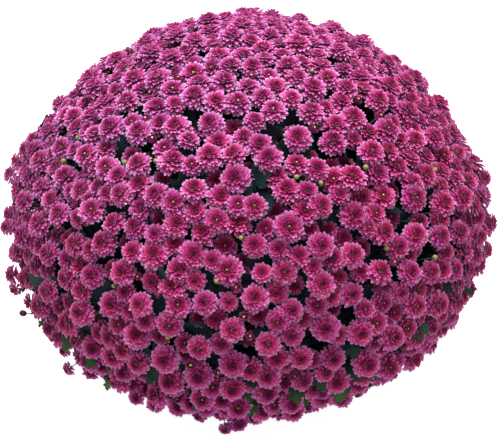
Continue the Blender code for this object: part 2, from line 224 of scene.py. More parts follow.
# %% Find places in the gaps
FILLER_BLOOMS = 860
HALF_OPEN_BUDS = 120
CLOSED_BUDS = 90
GAP_TRIES = 14000


def random_places(count, rng, first=0.0):
    """(places, normals) of count random points on the cushion, below the first share of its area."""
    at = step_at(rng.uniform(first, 1, count))
    turn = rng.uniform(0, 2 * math.pi, count)
    r, z, out, rise = (np.interp(at, STEPS, values) for values in (RADII, HEIGHTS, *NORMALS.T))
    level = np.stack([np.cos(turn), np.sin(turn)], 1)
    places = np.column_stack([level * r[:, None], z])
    return places, around(level, np.stack([out, rise], 1))


def fill_gaps(taken, count, rng):
    """(places, normals) of count more points, each as far as can be from those taken."""
    tries, normals = random_places(GAP_TRIES, rng)
    far = np.min([np.linalg.norm(tries - place, axis=1) for place in taken], axis=0)
    picked = []
    for _ in range(count):
        k = int(far.argmax())
        picked.append(k)
        far = np.minimum(far, np.linalg.norm(tries - tries[k], axis=1))
    print("gap blooms lie at least", round(1000 * float(far.max()), 1), "mm from the next")
    return tries[picked], normals[picked]


gap_rng = np.random.default_rng(31)
gap_places, gap_normals = fill_gaps(main_places, FILLER_BLOOMS + HALF_OPEN_BUDS + CLOSED_BUDS, gap_rng)

# %% [markdown]
# ## Places read from the photograph
#
# Some things stand where the photograph shows them, and are given by their pixel. Each goes where that line of
# sight meets the cushion, or passes nearest to it. The first are the dark gaps, where one looks past the blooms
# into the shade: a small bloom there stands deeper. The side that the camera doesn't see gets random ones.

# %% Find the place of a pixel
FRAME_WIDTH, FRAME_HEIGHT = 500, 439
SIGHT_FROM, SIGHT_TO = 1.2, 2.2
SIGHT_STEPS = 800


def stands_out(points):
    """(how far each point stands out of the cushion, its distance from it, the normal there)."""
    flat = np.hypot(points[:, 0], points[:, 1])
    off = np.hypot(flat[:, None] - RADII, points[:, 2][:, None] - HEIGHTS)
    near = off.argmin(1)
    normal = NORMALS[near]
    out = (flat - RADII[near]) * normal[:, 0] + (points[:, 2] - HEIGHTS[near]) * normal[:, 1]
    return out, off.min(1), around(points[:, :2] / flat[:, None], normal)


def seen_at(x, y):
    """(place, outward normal) where the line of sight through a pixel meets or nears the cushion."""
    across = (x - FRAME_WIDTH / 2) / FRAME_WIDTH * SENSOR_WIDTH / CAMERA_LENS
    up = (FRAME_HEIGHT / 2 - y) / FRAME_WIDTH * SENSOR_WIDTH / CAMERA_LENS
    sight = Vector((across, up, -1))
    sight.rotate(camera.rotation_euler)
    reach = np.linspace(SIGHT_FROM, SIGHT_TO, SIGHT_STEPS)
    points = np.array(CAMERA_PLACE) + reach[:, None] * np.array(sight.normalized())
    out, off, normals = stands_out(points)
    first = int((out < 0).argmax()) if (out < 0).any() else int(off.argmin())
    return points[first], normals[first]


print("the middle of the frame lies at", [round(float(c), 3) for c in seen_at(250, 219.5)[0]])

# %% Place the dark gaps
DARK_GAPS = [
    (77, 155), (85, 144), (124, 116), (110, 97), (74, 191), (135, 155), (126, 142), (163, 170), (154, 211),
    (61, 213), (37, 213), (86, 228), (63, 246), (114, 209), (115, 245), (141, 231), (78, 250), (94, 292),
    (96, 302), (133, 294), (143, 296), (135, 335), (152, 362), (119, 377), (48, 279), (57, 291), (168, 314),
    (176, 322), (160, 73), (226, 90), (195, 113), (188, 116), (307, 96), (344, 77), (279, 105),
    (275, 134), (300, 123), (311, 139), (336, 154), (251, 157), (160, 169), (172, 172), (214, 166),
    (208, 170), (250, 192), (260, 192), (326, 178), (152, 129), (238, 123), (160, 210), (275, 212),
    (247, 228), (238, 262), (248, 266), (225, 238), (303, 281), (205, 298), (212, 302),
    (251, 301), (190, 325), (200, 328), (294, 312), (255, 316), (234, 332), (260, 342),
    (339, 222), (276, 342), (306, 347), (376, 77), (370, 106), (379, 116), (402, 109), (371, 140), (355, 159),
    (357, 185), (384, 192), (399, 186), (431, 190), (434, 196), (463, 168), (455, 163), (440, 146), (356, 112),
    (343, 133), (408, 127), (442, 165), (458, 205), (483, 212), (404, 219), (347, 211), (366, 236),
    (380, 247), (370, 285), (410, 273), (436, 266), (420, 288), (352, 241), (429, 249),
    (346, 311), (202, 364), (252, 351), (237, 348), (192, 351), (158, 366), (346, 366),
    (237, 395), (252, 404), (320, 351), (98, 311), (113, 299), (128, 302), (134, 342), (148, 366), (156, 374),
    (122, 370), (80, 326), (104, 345), (180, 380), (452, 320), (458, 330), (436, 335), (428, 347), (422, 358),
    (412, 366), (395, 376), (345, 397), (330, 404), (322, 410), (296, 414), (284, 417),
]
UNSEEN_GAPS = 200
GAP_REACHES = (0.0150, 0.0110)
GAP_HEIGHTS = (0.12, 0.30)
GAP_DEPTH = 0.020

dark = [seen_at(*pixel)[0] for pixel in DARK_GAPS]
for place, normal in zip(*random_places(UNSEEN_GAPS, gap_rng)):
    if Vector(normal).dot(CAMERA_PLACE - Vector(place)) < 0:
        dark.append(place)
dark = np.array(dark)


def gap_depth(place):
    """How much deeper a small bloom stands at a dark gap. The gaps are wider low on the cushion."""
    reach = np.interp(place[2], GAP_HEIGHTS, GAP_REACHES)
    return GAP_DEPTH * (np.linalg.norm(dark - place, axis=1).min() < reach)


deeper = sum(gap_depth(place) > 0 for place in gap_places)
print("dark gaps:", len(dark), "small blooms that stand deeper:", deeper)

# %% [markdown]
# ## Small helpers
#
# A finished piece's object stays at the origin, and its place is in its mesh. Repeated shapes are copied into
# one bmesh and moved there, which is far faster than a thousand objects.


# %% Helpers for shapes
SAME_PLACE = 1e-6


def standing(place, way, spin, size):
    """A matrix that stands +Z along way at place, spun about it and scaled."""
    turn = way.to_track_quat("Z", "Y").to_matrix().to_4x4()
    return Matrix.Translation(place) @ turn @ Matrix.Rotation(spin, 4, "Z") @ Matrix.Scale(size, 4)


def outward(place):
    """The level direction from the plant's axis to a place."""
    return Vector((place.x, place.y, 0)).normalized()


def as_mesh(shape, name):
    """Ends a bmesh as a mesh with smooth faces."""
    for face in shape.faces:
        face.smooth = True
    mesh = bpy.data.meshes.new(name)
    shape.to_mesh(mesh)
    shape.free()
    return mesh


def stamp(shape, mesh, matrix):
    """Copies a mesh into a bmesh, moved by a matrix. Returns the new verts."""
    before = len(shape.verts)
    shape.from_mesh(mesh)
    shape.verts.ensure_lookup_table()
    fresh = shape.verts[before:]
    bmesh.ops.transform(shape, matrix=matrix, verts=fresh)
    return fresh


def give_second_finish(faces):
    """Shows faces in the second finish of their piece, such as a stalk's beside a leaf's."""
    for face in faces:
        face.material_index = 1


def add_piece(name, shape, finishes, slot, *nodes):
    """Shows a bmesh as a piece of the plant that stands for the given CAD nodes."""
    mesh = as_mesh(shape, name)
    for finish in finishes:
        mesh.materials.append(finish)
    made = show(name, mesh)
    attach(made, "root")
    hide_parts(*nodes)
    return made


def close_sheet(shape):
    """Gives a flat sheet an underside that meets it all round in a sharp edge.

    The underside's U is raised by 2, and its inner verts are at z -1.
    """
    uv = shape.loops.layers.uv.verify()
    for edge in shape.edges:
        edge.smooth = not edge.is_boundary
    copy = bmesh.ops.duplicate(shape, geom=shape.verts[:] + shape.edges[:] + shape.faces[:])["geom"]
    under = [item for item in copy if isinstance(item, bmesh.types.BMFace)]
    for vert in {v for face in under for v in face.verts if not v.is_boundary}:
        vert.co.z = -1
    for face in under:
        for loop in face.loops:
            loop[uv].uv.x += 2
    bmesh.ops.reverse_faces(shape, faces=under)
    bmesh.ops.remove_doubles(shape, verts=shape.verts, dist=SAME_PLACE)


print("helpers ready")

# %% [markdown]
# ## One petal
#
# A petal of this bloom is a narrow spoon with a pointed foot and a short blunt tip. Its sides turn up, and it
# bends down near its end. It could be a single sheet, but a closed petal with two sides also prints and exports
# well. The open ones are kites of six small faces: there are over sixty in each bloom. Those that wrap a
# half-open bud bend much further, so they come from a finer grid. The innermost ones are plain spikes.

# %% Make a petal
BELLY = 0.82
KEEL_DEPTH = 0.035
WRAPPING_STEPS = 3
WRAPPING_WIDTHS = [(0, 0), (0.30, 0.72), (0.62, 1.0), (1, 0.62)]
WRAPPING_SPREAD = 0.7
WRAPPING_THICKNESS = 0.022
TIP_ROUNDING = 0.09
SPIKE_DEPTH = 0.05


def kite(length, width, cup, lift, curl):
    """An open bloom's petal, a channel of slope lift up to its widest place and curl beyond it, in degrees."""
    shape = bmesh.new()
    uv = shape.loops.layers.uv.new("UVMap")
    first, last = math.radians(lift), math.radians(curl)
    belly = Vector((math.cos(first), 0, math.sin(first))) * BELLY * length
    tip = belly + Vector((math.cos(last), 0, math.sin(last))) * (1 - BELLY) * length
    ridge = tip.normalized()
    up = Vector((-ridge.z, 0, ridge.x))
    raised = belly + up * cup * width / 2
    half = Vector((0, width / 2, 0))
    rim = [shape.verts.new(place) for place in (Vector(), raised - half, tip, raised + half)]
    foot, right, end, left = rim
    keel = shape.verts.new(ridge * belly.dot(ridge) - up * KEEL_DEPTH)
    spots = dict(zip((*rim, keel), [(0.5, 0), (0, BELLY), (0.5, 1), (1, BELLY), (0.5, BELLY)]))
    below = [(keel, b, a) for a, b in zip(rim, rim[1:] + rim[:1])]
    for corners in [(foot, right, end), (foot, end, left), *below]:
        for loop in shape.faces.new(corners).loops:
            loop[uv].uv = (spots[loop.vert][0] + 2 * (keel in corners), spots[loop.vert][1])
    for edge in shape.edges:
        edge.smooth = keel in edge.verts or set(edge.verts) == {foot, end}
    return shape


def flat_sheet(along):
    """A closed flat sheet from x 0 to 1 and y -1 to 1, with a UV map of the same."""
    shape = bmesh.new()
    bmesh.ops.create_grid(shape, x_segments=along, y_segments=2, size=0.5)
    uv = shape.loops.layers.uv.new("UVMap")
    for face in shape.faces:
        for loop in face.loops:
            loop[uv].uv = (loop.vert.co.y + 0.5, loop.vert.co.x + 0.5)
    for vert in shape.verts:
        vert.co.x += 0.5
        vert.co.y *= 2
    close_sheet(shape)
    return shape


def wrapping_petal(length, width, cup, lift, curl):
    """A bud's petal, whose slope goes from lift at its foot to curl at its tip, in degrees above level."""
    shape = flat_sheet(WRAPPING_STEPS)
    stations, widths = zip(*WRAPPING_WIDTHS)
    for vert in shape.verts:
        share, side, under = vert.co
        share = share**WRAPPING_SPREAD
        half = width / 2 * float(np.interp(share, stations, widths))
        share -= TIP_ROUNDING * side * side * (share > 0.99)
        first, slope = (math.radians(angle) for angle in (lift, lift + (curl - lift) * share))
        middle, bend = (first + slope) / 2, (slope - first) / 2
        chord = length * share * (math.sin(bend) / bend if bend else 1)
        foot = Vector((math.cos(middle), 0, math.sin(middle))) * chord
        normal = Vector((-math.sin(slope), 0, math.cos(slope)))
        raised = cup * half * side * side + under * WRAPPING_THICKNESS
        vert.co = foot + Vector((0, side * half, 0)) + normal * raised
    bmesh.ops.remove_doubles(shape, verts=shape.verts, dist=10 * SAME_PLACE)
    return shape


def spike(length, width, lift):
    """A narrow inner petal: three-sided, pointed at its foot, with a flat side up."""
    shape = bmesh.new()
    bmesh.ops.create_cone(shape, segments=3, radius1=1, radius2=0, depth=1, cap_ends=True)
    uv = shape.loops.layers.uv.new("UVMap")
    for face in shape.faces:
        for loop in face.loops:
            loop[uv].uv = (0.5 + 0.55 * loop.vert.co.x, 0.5 - loop.vert.co.z)
    for edge in shape.edges:
        edge.smooth = False
    for vert in shape.verts:
        side, keel, share = vert.co.x / math.cos(math.pi / 6), vert.co.y + 0.5, 0.5 - vert.co.z
        vert.co = (length * share, side * width / 2, -SPIKE_DEPTH * keel / 1.5)
    bmesh.ops.rotate(shape, matrix=Matrix.Rotation(math.radians(-lift), 3, "Y"), verts=shape.verts)
    return shape


for test in (kite(1, 0.3, 0.3, 20, 5), wrapping_petal(1, 0.3, 0.3, 20, 90), spike(1, 0.2, 40)):
    print("a petal has", len(test.faces), "faces and volume", round(test.calc_volume(signed=True), 4))
    test.free()

# %% [markdown]
# ## One bloom
#
# A double bloom is petals in rings. The outer ring droops, and each ring above it is shorter and stands up
# more, so the bloom is a dome with a dish in its middle. In the dish sits the heart, which shows a cream spot on
# some blooms. A few different ones of each kind are built once, at a radius of 1, and are turned and scaled for
# every place.

# %% Make the blooms
# Each ring: petals, kind, foot radius, foot height, length, width, cup, lift, curl
OPEN_RINGS = [
    (19, "kite", 0.10, -0.07, 0.96, 0.30, 0.10, -13, -36),
    (18, "kite", 0.10, -0.01, 0.92, 0.30, 0.10, 6, -16),
    (17, "kite", 0.10, 0.05, 0.80, 0.27, 0.12, 22, 0),
    (14, "kite", 0.09, 0.11, 0.64, 0.24, 0.15, 37, 18),
    (12, "spike", 0.07, 0.15, 0.52, 0.18, 0, 50, 0),
    (9, "spike", 0.05, 0.18, 0.36, 0.14, 0, 64, 0),
]
FILLER_RINGS = [
    (18, "kite", 0.10, -0.07, 0.94, 0.31, 0.10, -7, -30),
    (16, "kite", 0.10, 0.00, 0.88, 0.31, 0.10, 13, -8),
    (15, "kite", 0.10, 0.08, 0.74, 0.28, 0.12, 30, 10),
    (12, "kite", 0.08, 0.13, 0.54, 0.23, 0.15, 46, 28),
    (9, "spike", 0.05, 0.16, 0.38, 0.16, 0, 62, 0),
]
HALF_OPEN_RINGS = [
    (7, "wrapping", 0.15, -0.80, 2.35, 1.05, 0.45, 4, 146),
    (5, "wrapping", 0.10, -0.60, 1.95, 0.85, 0.50, 26, 138),
]
# Radius of the heart, its height, and the radius of its cream spot
OPEN_HEART = (0.14, 0.27, 0.055)
HALF_OPEN_HEART = (0.42, 0.66, 0.22)
HALF_OPEN_REACH = 0.32
HEART_DEPTH = 0.10
# How far the petals of a ring differ: their place round it, droop and roll in degrees, size and tone
PETAL_TURN = 0.15
PETAL_DROOP = 5
PETAL_ROLL = 6
PETAL_GROWTH = 0.06
PETAL_TONE = 0.32


def bloom_shape():
    """An empty bmesh whose verts carry the three numbers that the petals' finish reads."""
    shape = bmesh.new()
    for key in ("reach", "tone", "spot"):
        shape.verts.layers.float.new(key)
    return shape


def petal_of(kind, length, width, cup, lift, curl):
    """One petal for a ring. A spike has no cup and no curl."""
    if kind == "spike":
        return spike(length, width, lift)
    make = kite if kind == "kite" else wrapping_petal
    return make(length, width, cup, lift, curl)


def add_rings(shape, rings, rng):
    """Adds rings of petals, each petal turned, tilted and sized a little differently."""
    toned = shape.verts.layers.float["tone"]
    for ring, (count, kind, foot, height, *form) in enumerate(rings):
        pattern = as_mesh(petal_of(kind, *form), "petal")
        for k in range(count):
            turn = 2 * math.pi * (k + ring / 2 + rng.normal(0, PETAL_TURN)) / count
            matrix = Matrix.Rotation(turn, 4, "Z") @ Matrix.Translation((foot, 0, height))
            matrix @= Matrix.Rotation(math.radians(rng.normal(0, PETAL_DROOP)), 4, "Y")
            matrix @= Matrix.Rotation(math.radians(rng.normal(0, PETAL_ROLL)), 4, "X")
            matrix @= Matrix.Scale(1 + rng.normal(0, PETAL_GROWTH), 4)
            fresh = stamp(shape, pattern, matrix)
            shade = rng.uniform(-PETAL_TONE, PETAL_TONE)
            for vert in fresh:
                vert[toned] = shade
        bpy.data.meshes.remove(pattern)


def add_heart(shape, radius, height, spot_radius, spot):
    """Adds the low dome in the middle. Its flat top carries the cream spot."""
    made = bmesh.ops.create_cone(
        shape, segments=6, radius1=radius, radius2=spot_radius, depth=HEART_DEPTH, cap_ends=True,
        matrix=Matrix.Translation((0, 0, height)),
    )["verts"]
    give_second_finish({face for vert in made for face in vert.link_faces})
    spotted = shape.verts.layers.float["spot"]
    for vert in made:
        vert[spotted] = spot * (vert.co.z > height)


def bloom(name, rings, seed, heart, spot, reach_scale=1.0):
    """A bloom of radius 1 that faces +Z, with the distance from its middle as an attribute."""
    shape = bloom_shape()
    add_rings(shape, rings, np.random.default_rng(seed))
    add_heart(shape, *heart, spot)
    reach = shape.verts.layers.float["reach"]
    for vert in shape.verts:
        vert[reach] = math.hypot(vert.co.x, vert.co.y) * reach_scale
    return as_mesh(shape, name)


open_blooms = [bloom(f"open_{k}", OPEN_RINGS, 40 + k, OPEN_HEART, k == 0) for k in range(6)]
filler_blooms = [bloom(f"filler_{k}", FILLER_RINGS, 50 + k, OPEN_HEART, k == 0) for k in range(4)]
half_open = [
    bloom(f"half_open_{k}", HALF_OPEN_RINGS, 60 + k, HALF_OPEN_HEART, 1, reach_scale=HALF_OPEN_REACH)
    for k in range(3)
]
print("faces of a bloom:", [len(mesh.polygons) for mesh in open_blooms[:1] + filler_blooms[:1] + half_open[:1]])

# %% [markdown]
# ## Buds and calyxes
#
# A closed bud is a ribbed ball of folded petals. Every bloom and bud sits in a calyx, a small green cup that
# narrows into the stalk. Both are a few faces each, because there are over a thousand of them.

# %% Make the closed bud and the calyx
BUD_RIBS = 5
BUD_WAIST = 0.86
RIB_STANDS = 0.05
# Depth and radius of the calyx of a bloom and of a bud, as shares of the bloom's radius
BLOOM_CALYX = (0.24, 0.34)
BUD_CALYX = (1.1, 0.93)
CALYX_FOOT = 0.05
CALYX_TOP = 0.05


def closed_bud(name, green):
    """A ribbed ball of radius 1, crimson or a young yellow-green."""
    shape = bloom_shape()
    bmesh.ops.create_uvsphere(shape, u_segments=2 * BUD_RIBS, v_segments=6, radius=1)
    shape.loops.layers.uv.new("UVMap")
    reach, spot = (shape.verts.layers.float[key] for key in ("reach", "spot"))
    for vert in shape.verts:
        rib = math.cos(BUD_RIBS * math.atan2(vert.co.y, vert.co.x))
        vert.co.xy *= BUD_WAIST + RIB_STANDS * rib
        vert[reach] = 0.14 + 0.10 * rib
        vert[spot] = green
    return as_mesh(shape, name)


def calyx(depth, radius):
    """A cup from the stalk's end, flaring to its open rim."""
    shape = bmesh.new()
    shape.loops.layers.uv.new("UVMap")
    waist = (0.8 * radius, CALYX_TOP - 0.45 * depth)
    rings = [(CALYX_FOOT, CALYX_TOP - depth), waist, (radius, CALYX_TOP)]
    made = bmesh.ops.create_circle(shape, segments=7, radius=rings[0][0], cap_ends=True)
    face = made["verts"][0].link_faces[0]
    bmesh.ops.translate(shape, vec=(0, 0, rings[0][1]), verts=shape.verts)
    for (last, _), (width, high) in zip(rings, rings[1:]):
        face = bmesh.ops.extrude_discrete_faces(shape, faces=[face])["faces"][0]
        for vert in face.verts:
            vert.co = (vert.co.x * width / last, vert.co.y * width / last, high)
    bmesh.ops.recalc_face_normals(shape, faces=shape.faces)
    give_second_finish(shape.faces)
    return as_mesh(shape, "calyx")


bud = closed_bud("closed_bud", 0)
green_bud = closed_bud("green_bud", 0.9)
calyxes = {"bloom": calyx(*BLOOM_CALYX), "bud": calyx(*BUD_CALYX)}
print("faces of a bud and a calyx:", len(bud.polygons), len(calyxes["bloom"].polygons))

# %% [markdown]
# ## Leaves
#
# The leaf has two forward-pointing lobes on each side, with deep bays between them, and a broad tip. Its blade
# is a closed sheet like the bud petal's, but the grid's outer columns follow the lobes. The blade arches down
# towards its tip, its halves rise from the midrib, and its lobes ripple a little. The leaves that close the
# cushion from inside are only glimpsed, so they have a simpler edge.

# %% Make a leaf
# Stations as (place along the midrib, place along at the edge, half width), as shares of length and half width
LEAF_SIDE = [
    (0, 0, 0.03), (0.20, 0.19, 0.05), (0.28, 0.25, 0.50), (0.38, 0.44, 0.78), (0.46, 0.49, 0.38),
    (0.55, 0.56, 0.86), (0.66, 0.76, 1.0), (0.76, 0.77, 0.44), (0.88, 0.90, 0.50), (1, 0.98, 0.14),
]
INNER_LEAF_SIDE = [(0, 0, 0.03), (0.22, 0.20, 0.55), (0.46, 0.54, 0.98), (0.74, 0.78, 0.62), (1, 0.98, 0.14)]
LEAF_WIDTH_SHARE = 0.74
LEAF_FOLD = 0.14
LEAF_RIPPLE = 0.05
RIPPLE_WAVES = 22
LEAF_ARCHES = (0.06, 0.16, 0.28)


def leaf(length, arch, thick=0.0007, rounds=0, stations=LEAF_SIDE):
    """A lobed leaf along +X from its stalk's end at the origin."""
    shape = flat_sheet(len(stations) - 1)
    for vert in shape.verts:
        middle, edge, half = stations[round(vert.co.x * (len(stations) - 1))]
        side, under = vert.co.y, vert.co.z
        share = middle + (edge - middle) * abs(side)
        y = side * half * LEAF_WIDTH_SHARE / 2
        rippled = LEAF_RIPPLE * abs(y) * math.sin(RIPPLE_WAVES * share)
        lifted = LEAF_FOLD * abs(y) + rippled - arch * share * share
        vert.co = Vector((share, y, lifted)) * length + UP * under * thick
    if rounds:
        bmesh.ops.subdivide_edges(shape, edges=shape.edges, cuts=rounds, smooth=0.6, use_grid_fill=True)
    return shape


small_leaves, inner_leaves = [], []
for k, arch in enumerate(LEAF_ARCHES):
    small_leaves.append(as_mesh(leaf(1, arch, thick=0.012), f"small_leaf_{k}"))
    inner_leaves.append(as_mesh(leaf(1, arch, thick=0.010, stations=INNER_LEAF_SIDE), f"inner_leaf_{k}"))
print("faces of a small and an inner leaf:", len(small_leaves[0].polygons), len(inner_leaves[0].polygons))

# %% [markdown]
# ## Helpers for finishes
#
# Every finish is a node tree on the Principled shader. These helpers write such a tree in a few lines: one
# adds a node, one links or sets a socket, and the others are the sums, ramps and mixes that all finishes use.
# A mask in them is a number from 0 to 1 that says where something shows.


# %% Helpers for finishes
def tint(red, green, blue):
    """A colour as a screen shows it, 0 to 255, in the linear values that nodes take."""
    return (*(((c / 255 + 0.055) / 1.055) ** 2.4 for c in (red, green, blue)), 1)


def new_finish(name, roughness):
    made = bpy.data.materials.new(name)
    made.use_nodes = True
    surface = made.node_tree.nodes["Principled BSDF"]
    surface.inputs["Roughness"].default_value = roughness
    return made, made.node_tree, surface


def add_node(tree, kind, **settings):
    made = tree.nodes.new("ShaderNode" + kind)
    for key, value in settings.items():
        setattr(made, key, value)
    return made


def plug(tree, socket, value):
    """Links an output to a socket, or sets the socket's own number or colour."""
    if isinstance(value, bpy.types.NodeSocket):
        tree.links.new(value, socket)
    else:
        socket.default_value = value


def calc(tree, operation, *values):
    made = add_node(tree, "Math", operation=operation)
    for socket, value in zip(made.inputs, values):
        plug(tree, socket, value)
    return made.outputs[0]


def times(tree, first, second):
    return calc(tree, "MULTIPLY", first, second)


def smooth_step(tree, value, low, high):
    """A soft step from 0 at low to 1 at high. It falls where low is the larger one."""
    made = add_node(tree, "MapRange", interpolation_type="SMOOTHSTEP")
    plug(tree, made.inputs["Value"], value)
    plug(tree, made.inputs["From Min"], low)
    plug(tree, made.inputs["From Max"], high)
    return made.outputs["Result"]


def shades(tree, factor, *stops):
    """A colour ramp through stops of (position, colour)."""
    made = add_node(tree, "ValToRGB")
    points = made.color_ramp.elements
    while len(points) < len(stops):
        points.new(1)
    for point, (position, colour) in zip(points, stops):
        point.position = position
        point.color = colour
    plug(tree, made.inputs["Fac"], factor)
    return made.outputs["Color"]


def mixed(tree, share, first, second, way="MIX"):
    made = add_node(tree, "Mix", data_type="RGBA", blend_type=way)
    plug(tree, made.inputs[0], share)
    plug(tree, made.inputs[6], first)
    plug(tree, made.inputs[7], second)
    return made.outputs[2]


def washed(tree, colour, mask, share, wash, way="MIX"):
    """A colour with a share of another laid over it where a mask says."""
    return mixed(tree, times(tree, mask, share), colour, wash, way)


def attribute(tree, name):
    return add_node(tree, "Attribute", attribute_name=name).outputs["Fac"]


def place_on_plant(tree):
    return add_node(tree, "TexCoord").outputs["Object"]


def vector_calc(tree, operation, first, second):
    """A vector node's outputs, with its first input linked and its second one set."""
    made = add_node(tree, "VectorMath", operation=operation)
    plug(tree, made.inputs[0], first)
    made.inputs[1].default_value = second
    return made.outputs


def split(tree, vector):
    made = add_node(tree, "SeparateXYZ")
    plug(tree, made.inputs[0], vector)
    return made.outputs


def above_ground(tree):
    return split(tree, place_on_plant(tree))["Z"]


def towards(tree, way):
    """How far a place lies towards a direction: their dot product."""
    return vector_calc(tree, "DOT_PRODUCT", place_on_plant(tree), way)["Value"]


def along_sheet(tree):
    """(across 0 to 1, along 0 to 1, 1 on the underside) from the UV map that close_sheet lays out."""
    parts = split(tree, add_node(tree, "UVMap", uv_map="UVMap").outputs["UV"])
    under = calc(tree, "GREATER_THAN", parts["X"], 1.5)
    across = calc(tree, "SUBTRACT", parts["X"], times(tree, under, 2))
    return across, parts["Y"], under


def new_group(name, inputs, outputs):
    """A node group with float inputs of (name, value) and float outputs. Returns it with its two ends."""
    made = bpy.data.node_groups.new(name, "ShaderNodeTree")
    for key, value in inputs:
        socket = made.interface.new_socket(key, in_out="INPUT", socket_type="NodeSocketFloat")
        socket.default_value = value
    for key in outputs:
        made.interface.new_socket(key, in_out="OUTPUT", socket_type="NodeSocketFloat")
    return made, made.nodes.new("NodeGroupInput"), made.nodes.new("NodeGroupOutput")


def use_group(tree, group, **values):
    made = add_node(tree, "Group", node_tree=group)
    for key, value in values.items():
        plug(tree, made.inputs[key], value)
    return made.outputs[0]


def paint(tree, surface, colour, roughness=None, gloss=None):
    """Links a finish's colour and roughness, and sets how much it mirrors."""
    plug(tree, surface.inputs["Base Color"], colour)
    if roughness is not None:
        plug(tree, surface.inputs["Roughness"], roughness)
    if gloss is not None:
        surface.inputs["Specular IOR Level"].default_value = gloss


def add_bump(tree, surface, height, distance, strength):
    made = add_node(tree, "Bump")
    made.inputs["Distance"].default_value = distance
    made.inputs["Strength"].default_value = strength
    plug(tree, made.inputs["Height"], height)
    tree.links.new(made.outputs["Normal"], surface.inputs["Normal"])


print("finish helpers ready")

# %% [markdown]
# ## Shared effects
#
# Petals and leaves both have veins, nothing that grew has one even colour, and greens well inside the cushion get
# a painted shade of dark blue-grey. Three node groups hold these effects once: veins draws fine lines along or
# slanting across a sheet, mottling is soft noise in place, and painted_inner_shade, the mask of that painted
# shade, is 1 well inside the cushion and 0 at its surface.

# %% Build the shared groups
VEIN_INPUTS = [("Across", 0.5), ("Along", 0), ("Lines", 0), ("Rows", 0), ("Slant", 0), ("Midrib", 0)]
veins, start, end = new_group("veins", VEIN_INPUTS, ["Mask"])
given = start.outputs
side = calc(veins, "ABSOLUTE", calc(veins, "SUBTRACT", given["Across"], 0.5))
slanted = calc(veins, "SUBTRACT", given["Along"], times(veins, side, given["Slant"]))
phase = calc(veins, "ADD", times(veins, side, given["Lines"]), times(veins, slanted, given["Rows"]))
wave = calc(veins, "COSINE", times(veins, phase, 2 * math.pi))
line = smooth_step(veins, wave, 0.2, 1.0)
rib = times(veins, smooth_step(veins, side, 0.07, 0.0), given["Midrib"])
plug(veins, end.inputs["Mask"], calc(veins, "MAXIMUM", line, rib))

mottling, start, end = new_group("mottling", [("Scale", 60), ("Detail", 3)], ["Mask"])
noise = add_node(mottling, "TexNoise")
plug(mottling, noise.inputs["Vector"], place_on_plant(mottling))
for key in ("Scale", "Detail"):
    plug(mottling, noise.inputs[key], start.outputs[key])
plug(mottling, end.inputs["Mask"], smooth_step(mottling, noise.outputs["Fac"], 0.3, 0.7))

# Painted shade: a mask that is 1 well inside the cushion, where leaves and stalks are painted dark blue-grey as
# if in shadow.
painted_inner_shade, start, end = new_group("painted_inner_shade", [("Last", 0.97)], ["Mask"])
offset = vector_calc(painted_inner_shade, "SUBTRACT", place_on_plant(painted_inner_shade), (0, 0, WIDEST_HEIGHT))
squashed = vector_calc(painted_inner_shade, "DIVIDE", offset[0], (CUSHION_RADIUS, CUSHION_RADIUS, CUSHION_RISE))
far = add_node(painted_inner_shade, "VectorMath", operation="LENGTH")
plug(painted_inner_shade, far.inputs[0], squashed[0])
low = smooth_step(painted_inner_shade, above_ground(painted_inner_shade), 0.21, 0.05)
reached = calc(painted_inner_shade, "MULTIPLY_ADD", low, 0.20, far.outputs["Value"])
outer = smooth_step(painted_inner_shade, reached, 0.89, start.outputs["Last"])
plug(painted_inner_shade, end.inputs["Mask"], calc(painted_inner_shade, "SUBTRACT", 1, outer))
print("groups:", [group.name for group in bpy.data.node_groups])

# %% [markdown]
# ## The petals' finish
#
# A petal is crimson at its foot, magenta along its length and pale lilac at its tip, and its outside is paler.
# The foot's crimson depends on how near the bloom's middle it is, so each bloom's mesh carries that distance as
# an attribute, and one number a bloom varies its colour. Fine lines run along each petal. Painted shade darkens
# each petal's folded sides near its foot, turns blooms low on the skirt a little more violet, and darkens the
# middles of blooms low on the front left as if they were in shadow. Painted light makes the blooms on the sunny
# side paler lilac, with paler tips and a touch more violet.

# %% Mix the petals' colour
SUN_WAY = (-0.4, 0.3, 0.85)
SHADE_WAY = (0.35, 0.35, 1.0)
petal_finish, tree, surface = new_finish("petal", 0.5)
across, along, under = along_sheet(tree)
reach, tone, spot = (attribute(tree, key) for key in ("reach", "tone", "spot"))
colour = shades(
    tree, reach, (0.0, tint(80, 10, 32)), (0.22, tint(110, 12, 46)), (0.40, tint(158, 16, 76)),
    (0.60, tint(196, 32, 108)), (0.80, tint(206, 50, 134)), (1.0, tint(212, 82, 160)),
)
# Painted light: petals on the side towards SUN_WAY are painted paler and more lilac, as a painted highlight.
sunny = smooth_step(tree, towards(tree, SUN_WAY), 0.22, 0.38)
painted_sun_paling = times(tree, sunny, smooth_step(tree, reach, 0.25, 0.65))
colour = washed(tree, colour, painted_sun_paling, 0.28, tint(222, 112, 188))
lines = use_group(tree, veins, Across=across, Along=along, Lines=5)
patches = use_group(tree, mottling, Scale=260.0, Detail=2.0)
colour = washed(tree, colour, lines, 0.30, tint(136, 10, 66))
colour = washed(tree, colour, patches, 0.10, tint(212, 76, 152))
print("petal nodes for its colour:", len(tree.nodes))

# %% Add the petals' tips, outside and painted shade in their folds and on the shaded side
side = times(tree, calc(tree, "ABSOLUTE", calc(tree, "SUBTRACT", across, 0.5)), 2)
edge = calc(tree, "DIVIDE", times(tree, side, BELLY), calc(tree, "MAXIMUM", along, 0.05))
# Painted shade: each petal's sides near its foot, where it tucks under its neighbours, are painted dark crimson
# as if in shadow.
painted_fold_shade = times(tree, smooth_step(tree, edge, 0.5, 1.0), smooth_step(tree, along, 0.75, 0.35))
colour = washed(tree, colour, painted_fold_shade, 0.45, tint(108, 8, 44))
